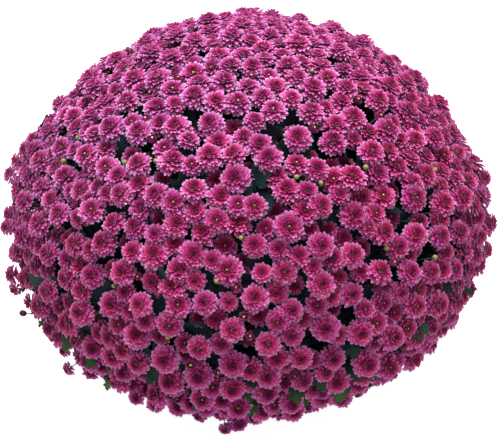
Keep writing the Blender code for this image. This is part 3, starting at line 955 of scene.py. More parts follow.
# The pale tips are the petals' own colour. On the sunny side they are painted a little wider and paler, as a
# painted highlight.
tip = smooth_step(tree, calc(tree, "MULTIPLY_ADD", sunny, 0.02, along), 0.75, 1.0)
rim = times(tree, smooth_step(tree, edge, 0.65, 1.0), smooth_step(tree, along, 0.35, 0.8))
pale = calc(tree, "MAXIMUM", tip, times(tree, rim, 0.34))
pale = times(tree, pale, smooth_step(tree, reach, 0.34, 0.88))
tip_colour_with_painted_highlight = mixed(tree, sunny, tint(226, 156, 210), tint(232, 184, 230))
colour = washed(tree, colour, pale, 0.82, tip_colour_with_painted_highlight)
outside = times(tree, under, smooth_step(tree, reach, 0.34, 0.6))
outside = times(tree, outside, smooth_step(tree, along, 0.3, 0.9))
colour = washed(tree, colour, outside, 0.60, tint(226, 126, 204))
# Painted shade: on the side turned from the light, low at the front left, the blooms' middles are painted near
# black-purple as if in shadow.
shaded = smooth_step(tree, towards(tree, SHADE_WAY), 0.16, 0.0)
painted_shade_middle = times(tree, shaded, smooth_step(tree, reach, 0.55, 0.15))
colour = washed(tree, colour, painted_shade_middle, 0.72, tint(56, 10, 40))
colour = mixed(tree, spot, colour, tint(160, 162, 92))
print("petal nodes with folds, tips and shade:", len(tree.nodes))

# %% Vary the blooms and finish the petals
varied = add_node(tree, "HueSaturation")
# Painted shade and light: blooms low on the skirt are turned more violet, like shade lit by the sky, and those on
# the sunny side a little too.
low = smooth_step(tree, above_ground(tree), 0.20, 0.06)
hue = calc(tree, "MULTIPLY_ADD", tone, 0.014, 0.490)
turned = calc(tree, "MAXIMUM", times(tree, low, 0.018), times(tree, sunny, 0.010))
plug(tree, varied.inputs["Hue"], calc(tree, "SUBTRACT", hue, turned))
plug(tree, varied.inputs["Value"], calc(tree, "MULTIPLY_ADD", tone, 0.20, 0.90))
plug(tree, varied.inputs["Color"], colour)
roughness = calc(tree, "MULTIPLY_ADD", lines, 0.15, 0.45)
paint(tree, surface, varied.outputs["Color"], roughness, gloss=0.25)
surface.inputs["Subsurface Weight"].default_value = 0.5
surface.inputs["Subsurface Radius"].default_value = (1.0, 0.4, 0.7)
surface.inputs["Subsurface Scale"].default_value = 0.002
surface.inputs["Sheen Weight"].default_value = 0.05
surface.inputs["Sheen Roughness"].default_value = 0.4
add_bump(tree, surface, lines, 0.0002, 0.5)
print("petal nodes:", len(tree.nodes))

# %% [markdown]
# ## The heart's finish
#
# The small florets in the middle are dark, with a green-brown ring round a cream spot where they have begun to
# open. The attribute spot is 1 on the flat top of such a heart and 0 at its foot, so a ramp draws the rings.

# %% Paint the hearts
heart_finish, tree, surface = new_finish("bloom_heart", 0.6)
spot = attribute(tree, "spot")
grains = use_group(tree, mottling, Scale=1500.0, Detail=2.0)
colour = shades(
    tree, spot, (0.0, tint(82, 20, 36)), (0.35, tint(74, 44, 32)), (0.7, tint(96, 92, 44)),
    (0.92, tint(206, 156, 84)), (1.0, tint(232, 196, 124)),
)
paint(tree, surface, washed(tree, colour, grains, 0.25, tint(120, 60, 40), "MULTIPLY"))
add_bump(tree, surface, grains, 0.0003, 0.6)
print("heart nodes:", len(tree.nodes))

# %% [markdown]
# ## Greens
#
# The leaves are a fresh green with paler veins and a greyer underside, and those well inside the cushion are
# painted a darker, bluer green as painted shade. The stalks are a lighter green that turns brown towards the
# crown, where the wood is old, and the calyxes share it. Well inside the cushion they get a painted blue-grey
# shade too.

# %% Paint the leaves and stalks
leaf_finish, tree, surface = new_finish("leaf", 0.55)
across, along, under = along_sheet(tree)
lines = use_group(tree, veins, Across=across, Along=along, Rows=8, Slant=0.7, Midrib=1.0)
patches = use_group(tree, mottling, Scale=70.0, Detail=3.0)
colour = mixed(tree, patches, tint(28, 70, 26), tint(58, 112, 32))
colour = washed(tree, colour, lines, 0.28, tint(116, 158, 72))
colour = washed(tree, colour, under, 0.45, tint(84, 122, 74))
# Painted shade: leaves well inside the cushion are painted dark blue-grey as if in shadow.
inner = use_group(tree, painted_inner_shade, Last=1.20)
colour = washed(tree, colour, inner, 0.94, tint(16, 35, 52))
paint(tree, surface, colour, calc(tree, "MULTIPLY_ADD", patches, 0.2, 0.42), gloss=0.2)
add_bump(tree, surface, lines, 0.0005, 0.6)

stalk_finish, tree, surface = new_finish("stalk", 0.6)
patches = use_group(tree, mottling, Scale=160.0, Detail=4.0)
woody = smooth_step(tree, above_ground(tree), 0.21, 0.14)
colour = mixed(tree, patches, tint(44, 66, 34), tint(84, 104, 56))
# Painted shade: stalks and calyxes well inside the cushion are painted a dark blue-grey as if in shadow.
inner = use_group(tree, painted_inner_shade, Last=0.99)
colour = washed(tree, colour, inner, 0.7, tint(38, 62, 70))
wood = mixed(tree, patches, tint(70, 52, 36), tint(120, 96, 68))
paint(tree, surface, mixed(tree, woody, colour, wood), gloss=0.2)
add_bump(tree, surface, patches, 0.0006, 0.6)
print("green finishes ready")

# %% [markdown]
# ## Every bloom's place, size and colour
#
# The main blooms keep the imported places. The ones in the gaps sit lower, as on the plant, where a late bloom
# opens under its neighbours. Each gets a spray, a size and a tone, all from one seeded source.

# %% List the blooms
MAIN_SIZES = (0.0134, 0.0166)
FILLER_SIZES = (0.0114, 0.0154)
TOP_GAIN = 0.08
FILLER_DEPTHS = (0.001, 0.022)
HALF_OPEN_SIZES = (0.0048, 0.0064)
BUD_SIZES = (0.0026, 0.0038)
BUD_DEPTHS = (0.000, 0.009)
FILLER_TURN = 0.18
FILLER_DEPTH_POWER = 1.6
TOP_DEPTH_LOSS = 0.6
# Painted shade: these lower the tone of stray blooms and buds, so they are painted darker as if in shadow.
STRAY_BLOOM_SHADE_TONE = -0.5
STRAY_BUD_SHADE_TONE = -1.2
LEAFY_BELOW = 0.1
LEAFY_SHARE = 0.15
SKIRT_LEAF_DEPTH = 0.012
SKIRT_LEAF_LENGTHS = (0.024, 0.034)

Head = namedtuple("Head", "kind mesh place way size tone spin spray stray")
heads = []
draw = np.random.default_rng(33)


def add_head(kind, mesh, place, way, size, stray=False):
    """Notes one bloom or bud, with a tone and a spin of its own and its spray. Strays get a lower tone, a painted
    shade that darkens them.
    """
    tone = draw.uniform(0, 1) + stray * (STRAY_BUD_SHADE_TONE if kind == "bud" else STRAY_BLOOM_SHADE_TONE)
    spin = draw.uniform(0, 2 * math.pi)
    way = Vector(way).normalized()
    heads.append(Head(kind, mesh, Vector(place), way, size, tone, spin, spray_of(place), stray))


def turned_up(way, lowest=0.30):
    """A way to face that never looks far below level, as blooms turn towards the light."""
    way = Vector(way).normalized()
    return (way + UP * max(lowest - way.z, 0)).normalized()


def outward_and_down(normal):
    """A way for a leaf on the skirt to point, from the outward normal there."""
    return normal + 0.6 * np.array((normal[0], normal[1], -0.6)) + draw.normal(0, 0.3, 3)


def fuller_on_top(normal):
    """A scale for a bloom's size: the sunny top has the fullest ones."""
    return 1 + TOP_GAIN * max(normal[2] - 0.5, 0) * 2


def one_of(meshes):
    return meshes[draw.integers(len(meshes))]


for place, way in zip(main_places, main_ways):
    mesh = one_of(open_blooms)
    add_head("bloom", mesh, place, turned_up(way), draw.uniform(*MAIN_SIZES) * fuller_on_top(way))
for k, (place, normal) in enumerate(zip(gap_places, gap_normals)):
    way = turned_up(normal + draw.normal(0, FILLER_TURN, 3) + np.array((0, 0, FACING_UP)))
    if k < FILLER_BLOOMS and normal[2] < LEAFY_BELOW and draw.uniform() < LEAFY_SHARE:
        place = place - normal * SKIRT_LEAF_DEPTH
        add_head("leaf", small_leaves[2], place, outward_and_down(normal), draw.uniform(*SKIRT_LEAF_LENGTHS))
    elif k < FILLER_BLOOMS:
        mesh = one_of(filler_blooms)
        depth = FILLER_DEPTHS[0] + (FILLER_DEPTHS[1] - FILLER_DEPTHS[0]) * draw.uniform() ** FILLER_DEPTH_POWER
        depth *= 1 - TOP_DEPTH_LOSS * max(normal[2], 0)
        place = place - normal * (depth + gap_depth(place))
        add_head("bloom", mesh, place, way, draw.uniform(*FILLER_SIZES) * fuller_on_top(normal))
    elif k < FILLER_BLOOMS + HALF_OPEN_BUDS:
        place = place - normal * draw.uniform(*BUD_DEPTHS)
        add_head("bud", one_of(half_open), place, way, draw.uniform(*HALF_OPEN_SIZES))
    else:
        place = place - normal * draw.uniform(*BUD_DEPTHS)
        add_head("bud", bud if k % 2 else green_bud, place, way, draw.uniform(*BUD_SIZES))
print("blooms and buds:", len(heads))

# %% [markdown]
# Along the skirt the cushion frays. Small late blooms and buds hang past it on their own stalks, half turned
# away, with the plant's only bright leaves beside them. The ones at the front stand where the photograph shows
# them, with a few more that bulge past the smooth outline, and the back of the skirt gets seeded ones.

# %% Fray the skirt's front and outline
# The front's small blooms and those that bulge past the outline as (pixel, radius in mm), its buds as (pixel),
# and its leaves as (pixel, length in mm)
FRONT_BLOOMS = [
    ((14, 290), 9.5), ((29, 303), 11), ((63, 351), 8.5), ((79, 353), 8), ((67, 370), 9), ((91, 373), 12.5),
    ((118, 377), 12), ((198, 416), 11), ((225, 430), 8.5), ((239, 424), 14), ((273, 414), 8), ((307, 408), 9.5),
    ((322, 394), 10), ((384, 377), 9), ((397, 361), 10), ((413, 348), 12.5), ((433, 328), 10.5),
]
EDGE_BLOOMS = [
    ((9, 173), 12), ((17, 183), 12), ((15, 160), 11), ((24, 149), 12), ((32, 138), 12), ((8, 214), 12),
    ((5, 227), 11), ((14, 255), 11.5), ((10, 275), 11.5), ((49, 329), 13.5), ((136, 398), 10.5),
    ((155, 405), 11.5), ((177, 407), 13.5), ((242, 11), 12.5), ((251, 12), 11), ((300, 18), 12),
    ((396, 60), 11.5), ((407, 70), 11.5), ((486, 178), 11.5), ((493, 222), 12), ((488, 250), 11.5),
]
FRONT_BUDS = [(22, 313), (254, 420), (378, 383), (357, 395), (405, 361), (404, 347), (445, 323), (106, 378)]
FRONT_LEAVES = [
    ((25, 286), 20), ((42, 321), 15), ((70, 338), 30), ((92, 358), 24), ((107, 384), 16), ((200, 401), 24),
    ((252, 405), 24), ((295, 391), 26), ((340, 387), 34), ((423, 325), 22), ((415, 331), 22), ((468, 290), 16),
]
FORWARD = np.array((0, -0.5, 0.4))
FRONT_TURN = 0.25
EDGE_TURN = 0.15
BUD_TURN = 0.5
FRONT_BUD_SIZE = 0.0045
MM_IN_METRE = 1000

for pixel, radius in FRONT_BLOOMS:
    place, normal = seen_at(*pixel)
    way = turned_up(normal + draw.normal(0, FRONT_TURN, 3) + FORWARD, lowest=-0.10)
    add_head("bloom", one_of(filler_blooms), place, way, radius / MM_IN_METRE, stray=True)
for pixel, radius in EDGE_BLOOMS:
    place, normal = seen_at(*pixel)
    way = turned_up(normal + draw.normal(0, EDGE_TURN, 3) + FORWARD)
    add_head("bloom", one_of(filler_blooms), place, way, radius / MM_IN_METRE)
for pixel in FRONT_BUDS:
    place, normal = seen_at(*pixel)
    way = turned_up(normal + draw.normal(0, BUD_TURN, 3), lowest=-0.5)
    add_head("bud", bud, place, way, FRONT_BUD_SIZE, stray=True)
for pixel, length in FRONT_LEAVES:
    place, normal = seen_at(*pixel)
    add_head("leaf", small_leaves[2], place, outward_and_down(normal), length / MM_IN_METRE)
print("with the skirt's front:", len(heads))

# %% Fray the back of the skirt
STRAYS = 56
STRAYS_BELOW = 0.66
STRAY_TURN = 0.45
STRAY_SIZES = (0.0090, 0.0135)
STRAY_STANDS = (0.002, 0.018)
STRAY_BLOOMS_TO = 0.7
STRAY_HALF_OPEN_TO = 0.85
STRAY_BUD_GAIN = 1.3

for place, normal in zip(*random_places(STRAYS, draw, first=STRAYS_BELOW)):
    if place[1] < 0:
        continue
    way = turned_up(normal + draw.normal(0, STRAY_TURN, 3), lowest=-0.15)
    place = place + normal * draw.uniform(*STRAY_STANDS)
    kind = draw.uniform()
    if kind < STRAY_BLOOMS_TO:
        add_head("bloom", one_of(filler_blooms), place, way, draw.uniform(*STRAY_SIZES), stray=True)
    elif kind < STRAY_HALF_OPEN_TO:
        add_head("bud", one_of(half_open), place, way, draw.uniform(*HALF_OPEN_SIZES), stray=True)
    else:
        add_head("bud", bud, place, way, draw.uniform(*BUD_SIZES) * STRAY_BUD_GAIN, stray=True)
print("with strays:", len(heads))

# %% [markdown]
# ## Sprays
#
# A spray's stalks all leave the end of its branch, bend up to their blooms and carry the leaves. A stalk is
# drawn as a curve with a round bevel, which Blender turns into a tube, and all stalks of a spray share one
# curve. A leaf whose tip would stand far out of the cushion is left out, because the real ones stay in it.


# %% Helpers for stalks
def bent(start, middle, end, steps):
    """Points along a curve that leaves start for middle and arrives at end."""
    shares = [k / steps for k in range(steps + 1)]
    return [start * (1 - s) ** 2 + middle * 2 * s * (1 - s) + end * s * s for s in shares]


def along_path(points, share):
    """The place a share of the way through a path's points."""
    at = share * (len(points) - 1)
    k = min(int(at), len(points) - 2)
    return points[k].lerp(points[k + 1], at - k)


def tubes(paths, first, last, sides):
    """A mesh of round tubes through the paths' points, tapering from the first radius to the last."""
    curve = bpy.data.curves.new("tubes", "CURVE")
    curve.dimensions = "3D"
    curve.bevel_depth = 1
    curve.bevel_resolution = sides // 2 - 2
    curve.use_fill_caps = True
    for points in paths:
        line = curve.splines.new("POLY")
        line.points.add(len(points) - 1)
        for k, (point, place) in enumerate(zip(line.points, points)):
            point.co = (*place, 1)
            point.radius = first + (last - first) * k / (len(points) - 1)
    drawn = show("tubes", curve)
    bpy.context.view_layer.update()
    made = bpy.data.meshes.new_from_object(drawn.evaluated_get(bpy.context.evaluated_depsgraph_get()))
    bpy.data.objects.remove(drawn)
    bpy.data.curves.remove(curve)
    return made


def add_tubes(shape, paths, first, last, sides):
    """Adds the tubes to a bmesh in its second finish, with their caps closed."""
    made = tubes(paths, first, last, sides)
    before = len(shape.faces)
    fresh = stamp(shape, made, Matrix.Identity(4))
    bmesh.ops.remove_doubles(shape, verts=fresh, dist=SAME_PLACE)
    shape.faces.ensure_lookup_table()
    give_second_finish(shape.faces[before:])
    bpy.data.meshes.remove(made)


# %% Grow leaves beside the stalks
# Places along the stalk, lengths, and how far the leaf leans along the stalk
STRAY_LEAF = ((0.60, 0.82), (0.020, 0.030), (0.3, 1.0))
SMALL_LEAF = ((0.36, 0.70), (0.028, 0.046), (0.3, 0.9))
INNER_LEAF = ((0.25, 0.75), (0.044, 0.062), (-0.1, 0.3))
LEAF_TWIST = 0.25
LEAF_STANDS = 0.012
leaf_draw = np.random.default_rng(35)


def leaf_matrix(place, way, over, length):
    """A matrix that puts a leaf at place along way, with its face as near to over as can be."""
    over = (over - way * over.dot(way)).normalized()
    turn = Matrix((way, over.cross(way), over)).transposed().to_4x4()
    return Matrix.Translation(place) @ turn @ Matrix.Scale(length, 4)


def add_leaf_beside(shape, leaves, points, shares, lengths, leaning):
    """Adds a seeded leaf that grows from a stalk and leans along it, unless its tip stands far out."""
    blade = leaves[leaf_draw.integers(len(leaves))]
    place = along_path(points, leaf_draw.uniform(*shares))
    path = (points[-1] - points[0]).normalized()
    way = Vector(leaf_draw.normal(0, 1, 3))
    way = ((way - path * way.dot(path)).normalized() + path * leaf_draw.uniform(*leaning)).normalized()
    over = path + Vector(leaf_draw.normal(0, LEAF_TWIST, 3))
    matrix = leaf_matrix(place, way, over, leaf_draw.uniform(*lengths))
    tip = np.array([matrix @ Vector((1, 0, 0))])
    if stands_out(tip)[0][0] < LEAF_STANDS:
        stamp(shape, blade, matrix)


print("a leaf may stand out of the cushion by", 1000 * LEAF_STANDS, "mm")

# %% Hang blooms and leaves on a spray
STALK_BEND = 0.45
LEAF_STALK_BEND = 0.3
BLOOM_SINK = 0.25
CALYX_ENDS = {"bloom": 0.17, "bud": 0.95}
LEAF_CHANCE = 0.60
SKIRT_BELOW = 0.27


def stalk(foot, end, way, bend):
    """A stalk's points, from its spray's foot to its end, where it runs along way."""
    return bent(foot, end - way * bend * (end - foot).length, end, 3)


def add_skirt_leaf(greens, head, foot):
    """Adds a leaf that stands where a bloom would. Returns its stalk."""
    end = head.place - head.way * head.size * 0.5
    stamp(greens, head.mesh, leaf_matrix(end, head.way, UP + outward(end), head.size))
    return stalk(foot, end, head.way, LEAF_STALK_BEND)


def add_bloom(petals, greens, head, foot):
    """Adds a bloom or bud with its calyx. Returns its stalk."""
    centre = head.place - head.way * head.size * BLOOM_SINK
    matrix = standing(centre, head.way, head.spin, head.size)
    toned = petals.verts.layers.float["tone"]
    for vert in stamp(petals, head.mesh, matrix):
        vert[toned] += head.tone
    stamp(greens, calyxes[head.kind], matrix)
    return stalk(foot, centre - head.way * head.size * CALYX_ENDS[head.kind], head.way, STALK_BEND)


def add_leaves(greens, head, path):
    """Adds the leaves of one bloom's stalk."""
    if head.stray:
        add_leaf_beside(greens, small_leaves, path, *STRAY_LEAF)
        return
    if leaf_draw.uniform() < LEAF_CHANCE:
        add_leaf_beside(greens, small_leaves, path, *SMALL_LEAF)
    for _ in range(2 if head.place.z < SKIRT_BELOW else 1):
        add_leaf_beside(greens, inner_leaves, path, *INNER_LEAF)


print("blooms and leaves can be hung")

# %% Build the sprays
STALK_RADII = (0.0011, 0.0008)
STALK_SIDES = 4


def build_spray(number):
    """Makes one spray as two pieces: its petals, and its stalks with calyxes and leaves."""
    foot = sprays[number][0]
    petals, greens = bloom_shape(), bmesh.new()
    greens.loops.layers.uv.new("UVMap")
    paths = []
    for head in [head for head in heads if head.spray == number]:
        if head.kind == "leaf":
            paths.append(add_skirt_leaf(greens, head, foot))
        else:
            paths.append(add_bloom(petals, greens, head, foot))
            add_leaves(greens, head, paths[-1])
    add_tubes(greens, paths, *STALK_RADII, STALK_SIDES)
    name = spray_names[number]
    counts = len(petals.faces), len(greens.faces)
    add_piece(name + "_petals", petals, [petal_finish, heart_finish], "petals", name)
    add_piece(name + "_greens", greens, [leaf_finish, stalk_finish], "greens", name)
    return counts


made_faces = [build_spray(number) for number in range(SPRAY_COUNT)]
print("faces of petals and greens:", [sum(counts) for counts in zip(*made_faces)])

# %% [markdown]
# ## Crown, stems and large leaves
#
# One woody crown stands in the soil. Seven stems fork from it, and branches leave them for the sprays' feet.
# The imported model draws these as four-sided tubes, so here the same routes carry rounder ones. Its 50 large
# leaves come back too, in their own places.

# %% The stems' routes
SOIL_LEVEL = 0.140
POT_HEIGHT = 0.165
FIT = 0.0003
STUMP_RADIUS = 0.014
STUMP_DEPTH = 0.045
STUMP_STANDS = 0.012
STUMP_TAPER = 0.8
SIDE_STEMS = 6
STEM_BEND = (0.045, 0.185)
STEM_TIP = (0.085, 0.255)
TOP_STEM_TIP = 0.285
TOP_FEET_RADIUS = 0.095
STEM_RADII = (0.0060, 0.0042)
BRANCHING_FROM = 0.35
BRANCHING_TO = 0.985
BRANCH_STRAIGHT = 0.45
BRANCH_RADII = (0.0030, 0.0022)
STEM_SIDES = 8
BRANCH_TIP = 0.007
RIM_CLEARANCE = 0.026
HANGING_FROM = 0.195
HANGING_BELOW = 0.120


def stem_points():
    """Each stem's points. The side stems lean out of the crown all round, and the last one stands up."""
    ground = UP * (SOIL_LEVEL + STUMP_STANDS / 2)
    made = []
    for k in range(SIDE_STEMS):
        turn = 2 * math.pi * (k + 0.5) / SIDE_STEMS
        level = Vector((math.cos(turn), math.sin(turn), 0))
        start = ground + level * STUMP_RADIUS / 3
        bend, tip = (level * r + UP * z for r, z in (STEM_BEND, STEM_TIP))
        made.append(bent(start, bend, tip, 3))
    made.append([ground, UP * TOP_STEM_TIP])
    return made


def branch_points(start, foot, axis):
    """A branch from its stem to just short of a spray's foot. One that hangs first clears the pot's rim."""
    end = foot - axis * FIT
    hanging = min(max((HANGING_FROM - foot.z) / (HANGING_FROM - HANGING_BELOW), 0), 1)
    straight = foot - axis * BRANCH_STRAIGHT * (foot - start).length
    if not hanging:
        return [start, straight, end]
    level = outward(foot)
    over = level * (level.dot(foot) + RIM_CLEARANCE) + UP * (POT_HEIGHT + 2 * RIM_CLEARANCE)
    return bent(start, straight.lerp(over, hanging), foot - axis * BRANCH_TIP, 3) + [end]


def branches(stems):
    """Each branch's points. A stem's lowest branches feed its lowest sprays."""
    fed = [[] for _ in stems]
    for foot, axis in sprays:
        level = outward(foot)
        if level.dot(foot) < TOP_FEET_RADIUS:
            nearest = len(stems) - 1
        else:
            nearest = max(range(SIDE_STEMS), key=lambda k: outward(stems[k][-1]).dot(level))
        fed[nearest].append((foot, axis))
    made = []
    for stem, feet in zip(stems, fed):
        feet.sort(key=lambda pair: pair[0].z)
        for k, (foot, axis) in enumerate(feet):
            share = BRANCHING_FROM + (BRANCHING_TO - BRANCHING_FROM) * k / (len(feet) - 1)
            made.append(branch_points(along_path(stem, share), foot, axis))
    return made


stems = stem_points()
branch_paths = branches(stems)
print("stems and branches:", len(stems), len(branch_paths))

# %% [markdown]
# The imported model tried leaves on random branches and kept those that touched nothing. The same tries are
# drawn again here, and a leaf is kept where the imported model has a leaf's tip in the very same place.

# %% Find the large leaves
LARGE_LEAVES = 50
LARGE_LEAF_LENGTHS = (0.046, 0.064)
LARGE_LEAF_ARCHES = (0.05, 0.22)
LEAF_TRIES = 60
FOUND_WITHIN = 0.0002


def leaf_places(paths, rng):
    """Endless seeded tries for a leaf, each as (place on a branch, way the leaf points)."""
    while True:
        points = paths[rng.integers(len(paths))]
        k = rng.integers(1, len(points) - 1)
        place = points[k - 1].lerp(points[k], rng.uniform(0.3, 0.95))
        path = (points[k] - points[k - 1]).normalized()
        way = Vector(rng.normal(0, 1, 3))
        way = (way - path * way.dot(path)).normalized() + path * rng.uniform(0.2, 0.9)
        yield place, (way + 0.5 * outward(place)).normalized()


def large_leaves(paths):
    """(matrix, length, arch) of each large leaf."""
    packed = np.array([v.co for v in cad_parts["leafy_stems"].data.vertices])
    rng = np.random.default_rng(21)
    tries = leaf_places(paths, rng)
    kept = []
    for _ in range(LARGE_LEAVES * LEAF_TRIES):
        place, way = next(tries)
        length, arch = rng.uniform(*LARGE_LEAF_LENGTHS), rng.uniform(*LARGE_LEAF_ARCHES)
        matrix = Matrix.Translation(place) @ way.to_track_quat("X", "Z").to_matrix().to_4x4()
        tip = matrix @ Vector((length, 0, -arch * length))
        if np.linalg.norm(packed - np.array(tip), axis=1).min() < FOUND_WITHIN:
            kept.append((matrix, length, arch))
    return kept


large = large_leaves(branch_paths)
print("large leaves found again:", len(large), "of", LARGE_LEAVES)

# %% Build the crown, stems and large leaves
CROWN_SIDES = 20
CROWN_ROUNDING = 0.003
plant = bmesh.new()
plant.loops.layers.uv.new("UVMap")
for matrix, length, arch in large:
    pattern = as_mesh(leaf(length, arch, rounds=1), "large_leaf")
    stamp(plant, pattern, matrix)
    bpy.data.meshes.remove(pattern)
add_tubes(plant, stems, *STEM_RADII, STEM_SIDES)
add_tubes(plant, branch_paths, *BRANCH_RADII, STEM_SIDES)

crown = bmesh.new()
crown_depth = STUMP_DEPTH + STUMP_STANDS
bmesh.ops.create_cone(
    crown, segments=CROWN_SIDES, radius1=STUMP_RADIUS * STUMP_TAPER, radius2=STUMP_RADIUS, depth=crown_depth,
    cap_ends=True, matrix=Matrix.Translation((0, 0, SOIL_LEVEL - STUMP_DEPTH + crown_depth / 2)),
)
rims = [edge for edge in crown.edges if all(v.co.z > SOIL_LEVEL for v in edge.verts)]
bmesh.ops.bevel(
    crown, geom=rims, offset=CROWN_ROUNDING, offset_type="OFFSET", affect="EDGES", segments=3, profile=0.5,
    material=-1,
)
give_second_finish(crown.faces)
stamp(plant, as_mesh(crown, "crown"), Matrix.Identity(4))
print("faces of crown, stems and large leaves:", len(plant.faces))
add_piece("stems_and_leaves", plant, [leaf_finish, stalk_finish], "greens", "leafy_stems")

# %% [markdown]
# ## Pot
#
# A turned clay pot is one profile spun round its axis, which is how a potter's jigger makes it too. The packed
# pot has fewer sides, and this one has 96, with the same wall, band and floor and softer edges. The drain holes
# are cut by four rods in one Boolean.

# %% Turn the pot
POT_RADIUS = 0.110
POT_FOOT_RADIUS = 0.080
POT_WALL = 0.007
POT_FLOOR = 0.010
BAND_HEIGHT = 0.026
BAND_PROUD = 0.005
CHAMFER = 0.0015
FLOOR_CORNER = (0.004, 0.003)
POT_SIDES = 96


def wall_radius(height):
    """Outer radius of the pot's wall below its band."""
    return POT_FOOT_RADIUS + (POT_RADIUS - POT_FOOT_RADIUS) * height / POT_HEIGHT


def inside_radius(height):
    return wall_radius(height) - POT_WALL


def spun(profile, sides):
    """A bmesh of a profile of (radius, height) spun round Z, with its doubles merged and faces outwards."""
    shape = bmesh.new()
    verts = [shape.verts.new((r, 0, z)) for r, z in profile]
    edges = [shape.edges.new(pair) for pair in zip(verts, verts[1:])]
    bmesh.ops.spin(
        shape, geom=verts + edges, cent=(0, 0, 0), axis=(0, 0, 1), angle=2 * math.pi, steps=sides,
        use_merge=True,
    )
    bmesh.ops.remove_doubles(shape, verts=shape.verts, dist=SAME_PLACE)
    bmesh.ops.recalc_face_normals(shape, faces=shape.faces)
    return shape


band_foot = POT_HEIGHT - BAND_HEIGHT
band_top_radius = POT_RADIUS + BAND_PROUD
band_foot_radius = wall_radius(band_foot) + BAND_PROUD
pot_profile = [
    (0, POT_FLOOR),
    (inside_radius(POT_FLOOR) - FLOOR_CORNER[0], POT_FLOOR),
    (inside_radius(POT_FLOOR), POT_FLOOR + FLOOR_CORNER[1]),
    (inside_radius(POT_HEIGHT - 2 * CHAMFER), POT_HEIGHT - 2 * CHAMFER),
    (POT_RADIUS - POT_WALL + CHAMFER / 2, POT_HEIGHT - CHAMFER / 2),
    (POT_RADIUS - POT_WALL + 2 * CHAMFER, POT_HEIGHT),
    (band_top_radius - CHAMFER, POT_HEIGHT),
    (band_top_radius - CHAMFER / 3, POT_HEIGHT - CHAMFER / 3),
    (band_top_radius, POT_HEIGHT - CHAMFER),
    (band_foot_radius, band_foot + CHAMFER),
    (band_foot_radius - CHAMFER / 3, band_foot + CHAMFER / 3),
    (band_foot_radius - CHAMFER, band_foot),
    (wall_radius(band_foot) + CHAMFER, band_foot),
    (wall_radius(band_foot - CHAMFER), band_foot - CHAMFER),
    (wall_radius(CHAMFER), CHAMFER),
    (wall_radius(0) - CHAMFER / 3, CHAMFER / 3),
    (POT_FOOT_RADIUS - CHAMFER, 0),
    (0, 0),
]
pot_shape = spun(pot_profile, POT_SIDES)
print("faces of the pot without holes:", len(pot_shape.faces))

# %% Cut the drain holes
DRAIN_HOLES = 4
DRAIN_RADIUS = 0.006
DRAIN_CIRCLE = 0.045
DRAIN_SIDES = 20

rods = bmesh.new()
for k in range(DRAIN_HOLES):
    turn = 2 * math.pi * (k + 0.5) / DRAIN_HOLES
    place = Vector((DRAIN_CIRCLE * math.cos(turn), DRAIN_CIRCLE * math.sin(turn), POT_FLOOR / 2))
    bmesh.ops.create_cone(
        rods, segments=DRAIN_SIDES, radius1=DRAIN_RADIUS, radius2=DRAIN_RADIUS, depth=3 * POT_FLOOR,
        cap_ends=True, matrix=Matrix.Translation(place),
    )
rod_object = show("drain_rods", as_mesh(rods, "drain_rods"))
pot_object = show("pot_blank", as_mesh(pot_shape, "pot_blank"))
cut = pot_object.modifiers.new("drain", "BOOLEAN")
cut.operation = "DIFFERENCE"
cut.object = rod_object
bpy.context.view_layer.update()
drained = bpy.data.meshes.new_from_object(pot_object.evaluated_get(bpy.context.evaluated_depsgraph_get()))
for made in (rod_object, pot_object):
    bpy.data.objects.remove(made)
print("pot faces:", len(drained.polygons))

# %% [markdown]
# Fired clay is rough and warm, with darker and paler patches, fine grit, faint lines from turning, and chalky
# stains where hard water has dried near the foot.

# %% Paint and show the pot
SHARP_ANGLE = math.radians(50)
clay_finish, tree, surface = new_finish("clay", 0.85)
patches = use_group(tree, mottling, Scale=14.0, Detail=5.0)
grit = use_group(tree, mottling, Scale=700.0, Detail=2.0)
height = above_ground(tree)
turning = calc(tree, "SINE", times(tree, height, 2200))
colour = mixed(tree, patches, tint(158, 88, 60), tint(188, 116, 82))
colour = washed(tree, colour, grit, 0.22, tint(128, 66, 44))
stained = times(tree, smooth_step(tree, height, 0.05, 0.0), patches)
colour = washed(tree, colour, stained, 0.5, tint(216, 196, 176))
paint(tree, surface, colour, calc(tree, "MULTIPLY_ADD", grit, 0.12, 0.78))
add_bump(tree, surface, calc(tree, "ADD", times(tree, turning, 0.2), grit), 0.0004, 0.5)

clay = bmesh.new()
clay.from_mesh(drained)
clay_pot = add_piece("clay_pot", clay, [clay_finish], "clay", "pot")
clay_pot.data.set_sharp_from_angle(angle=SHARP_ANGLE)
print("clay pot ready")

# %% [markdown]
# ## Soil
#
# Peat-based potting soil is near black, crumbly and full of fibres, with white grains of perlite. The packed
# soil is a plug with a wavy top. A finer spin follows the same wave, with smaller crumbs on it, and loose
# crumbs and perlite lie on top.

# %% Fill the pot with soil
SOIL_CRUMB = 0.0022
SOIL_ROUGHNESS = 0.0007
SOIL_RINGS = 22
SOIL_SIDES = 72
SOIL_CORNER = 0.004


def crumb(x, y):
    """How far the soil's surface stands above its level, from -1 to 1, by the packed soil's own wave."""
    return (math.sin(190 * x + 2) * math.sin(230 * y) + math.sin(330 * (x - y))) / 2


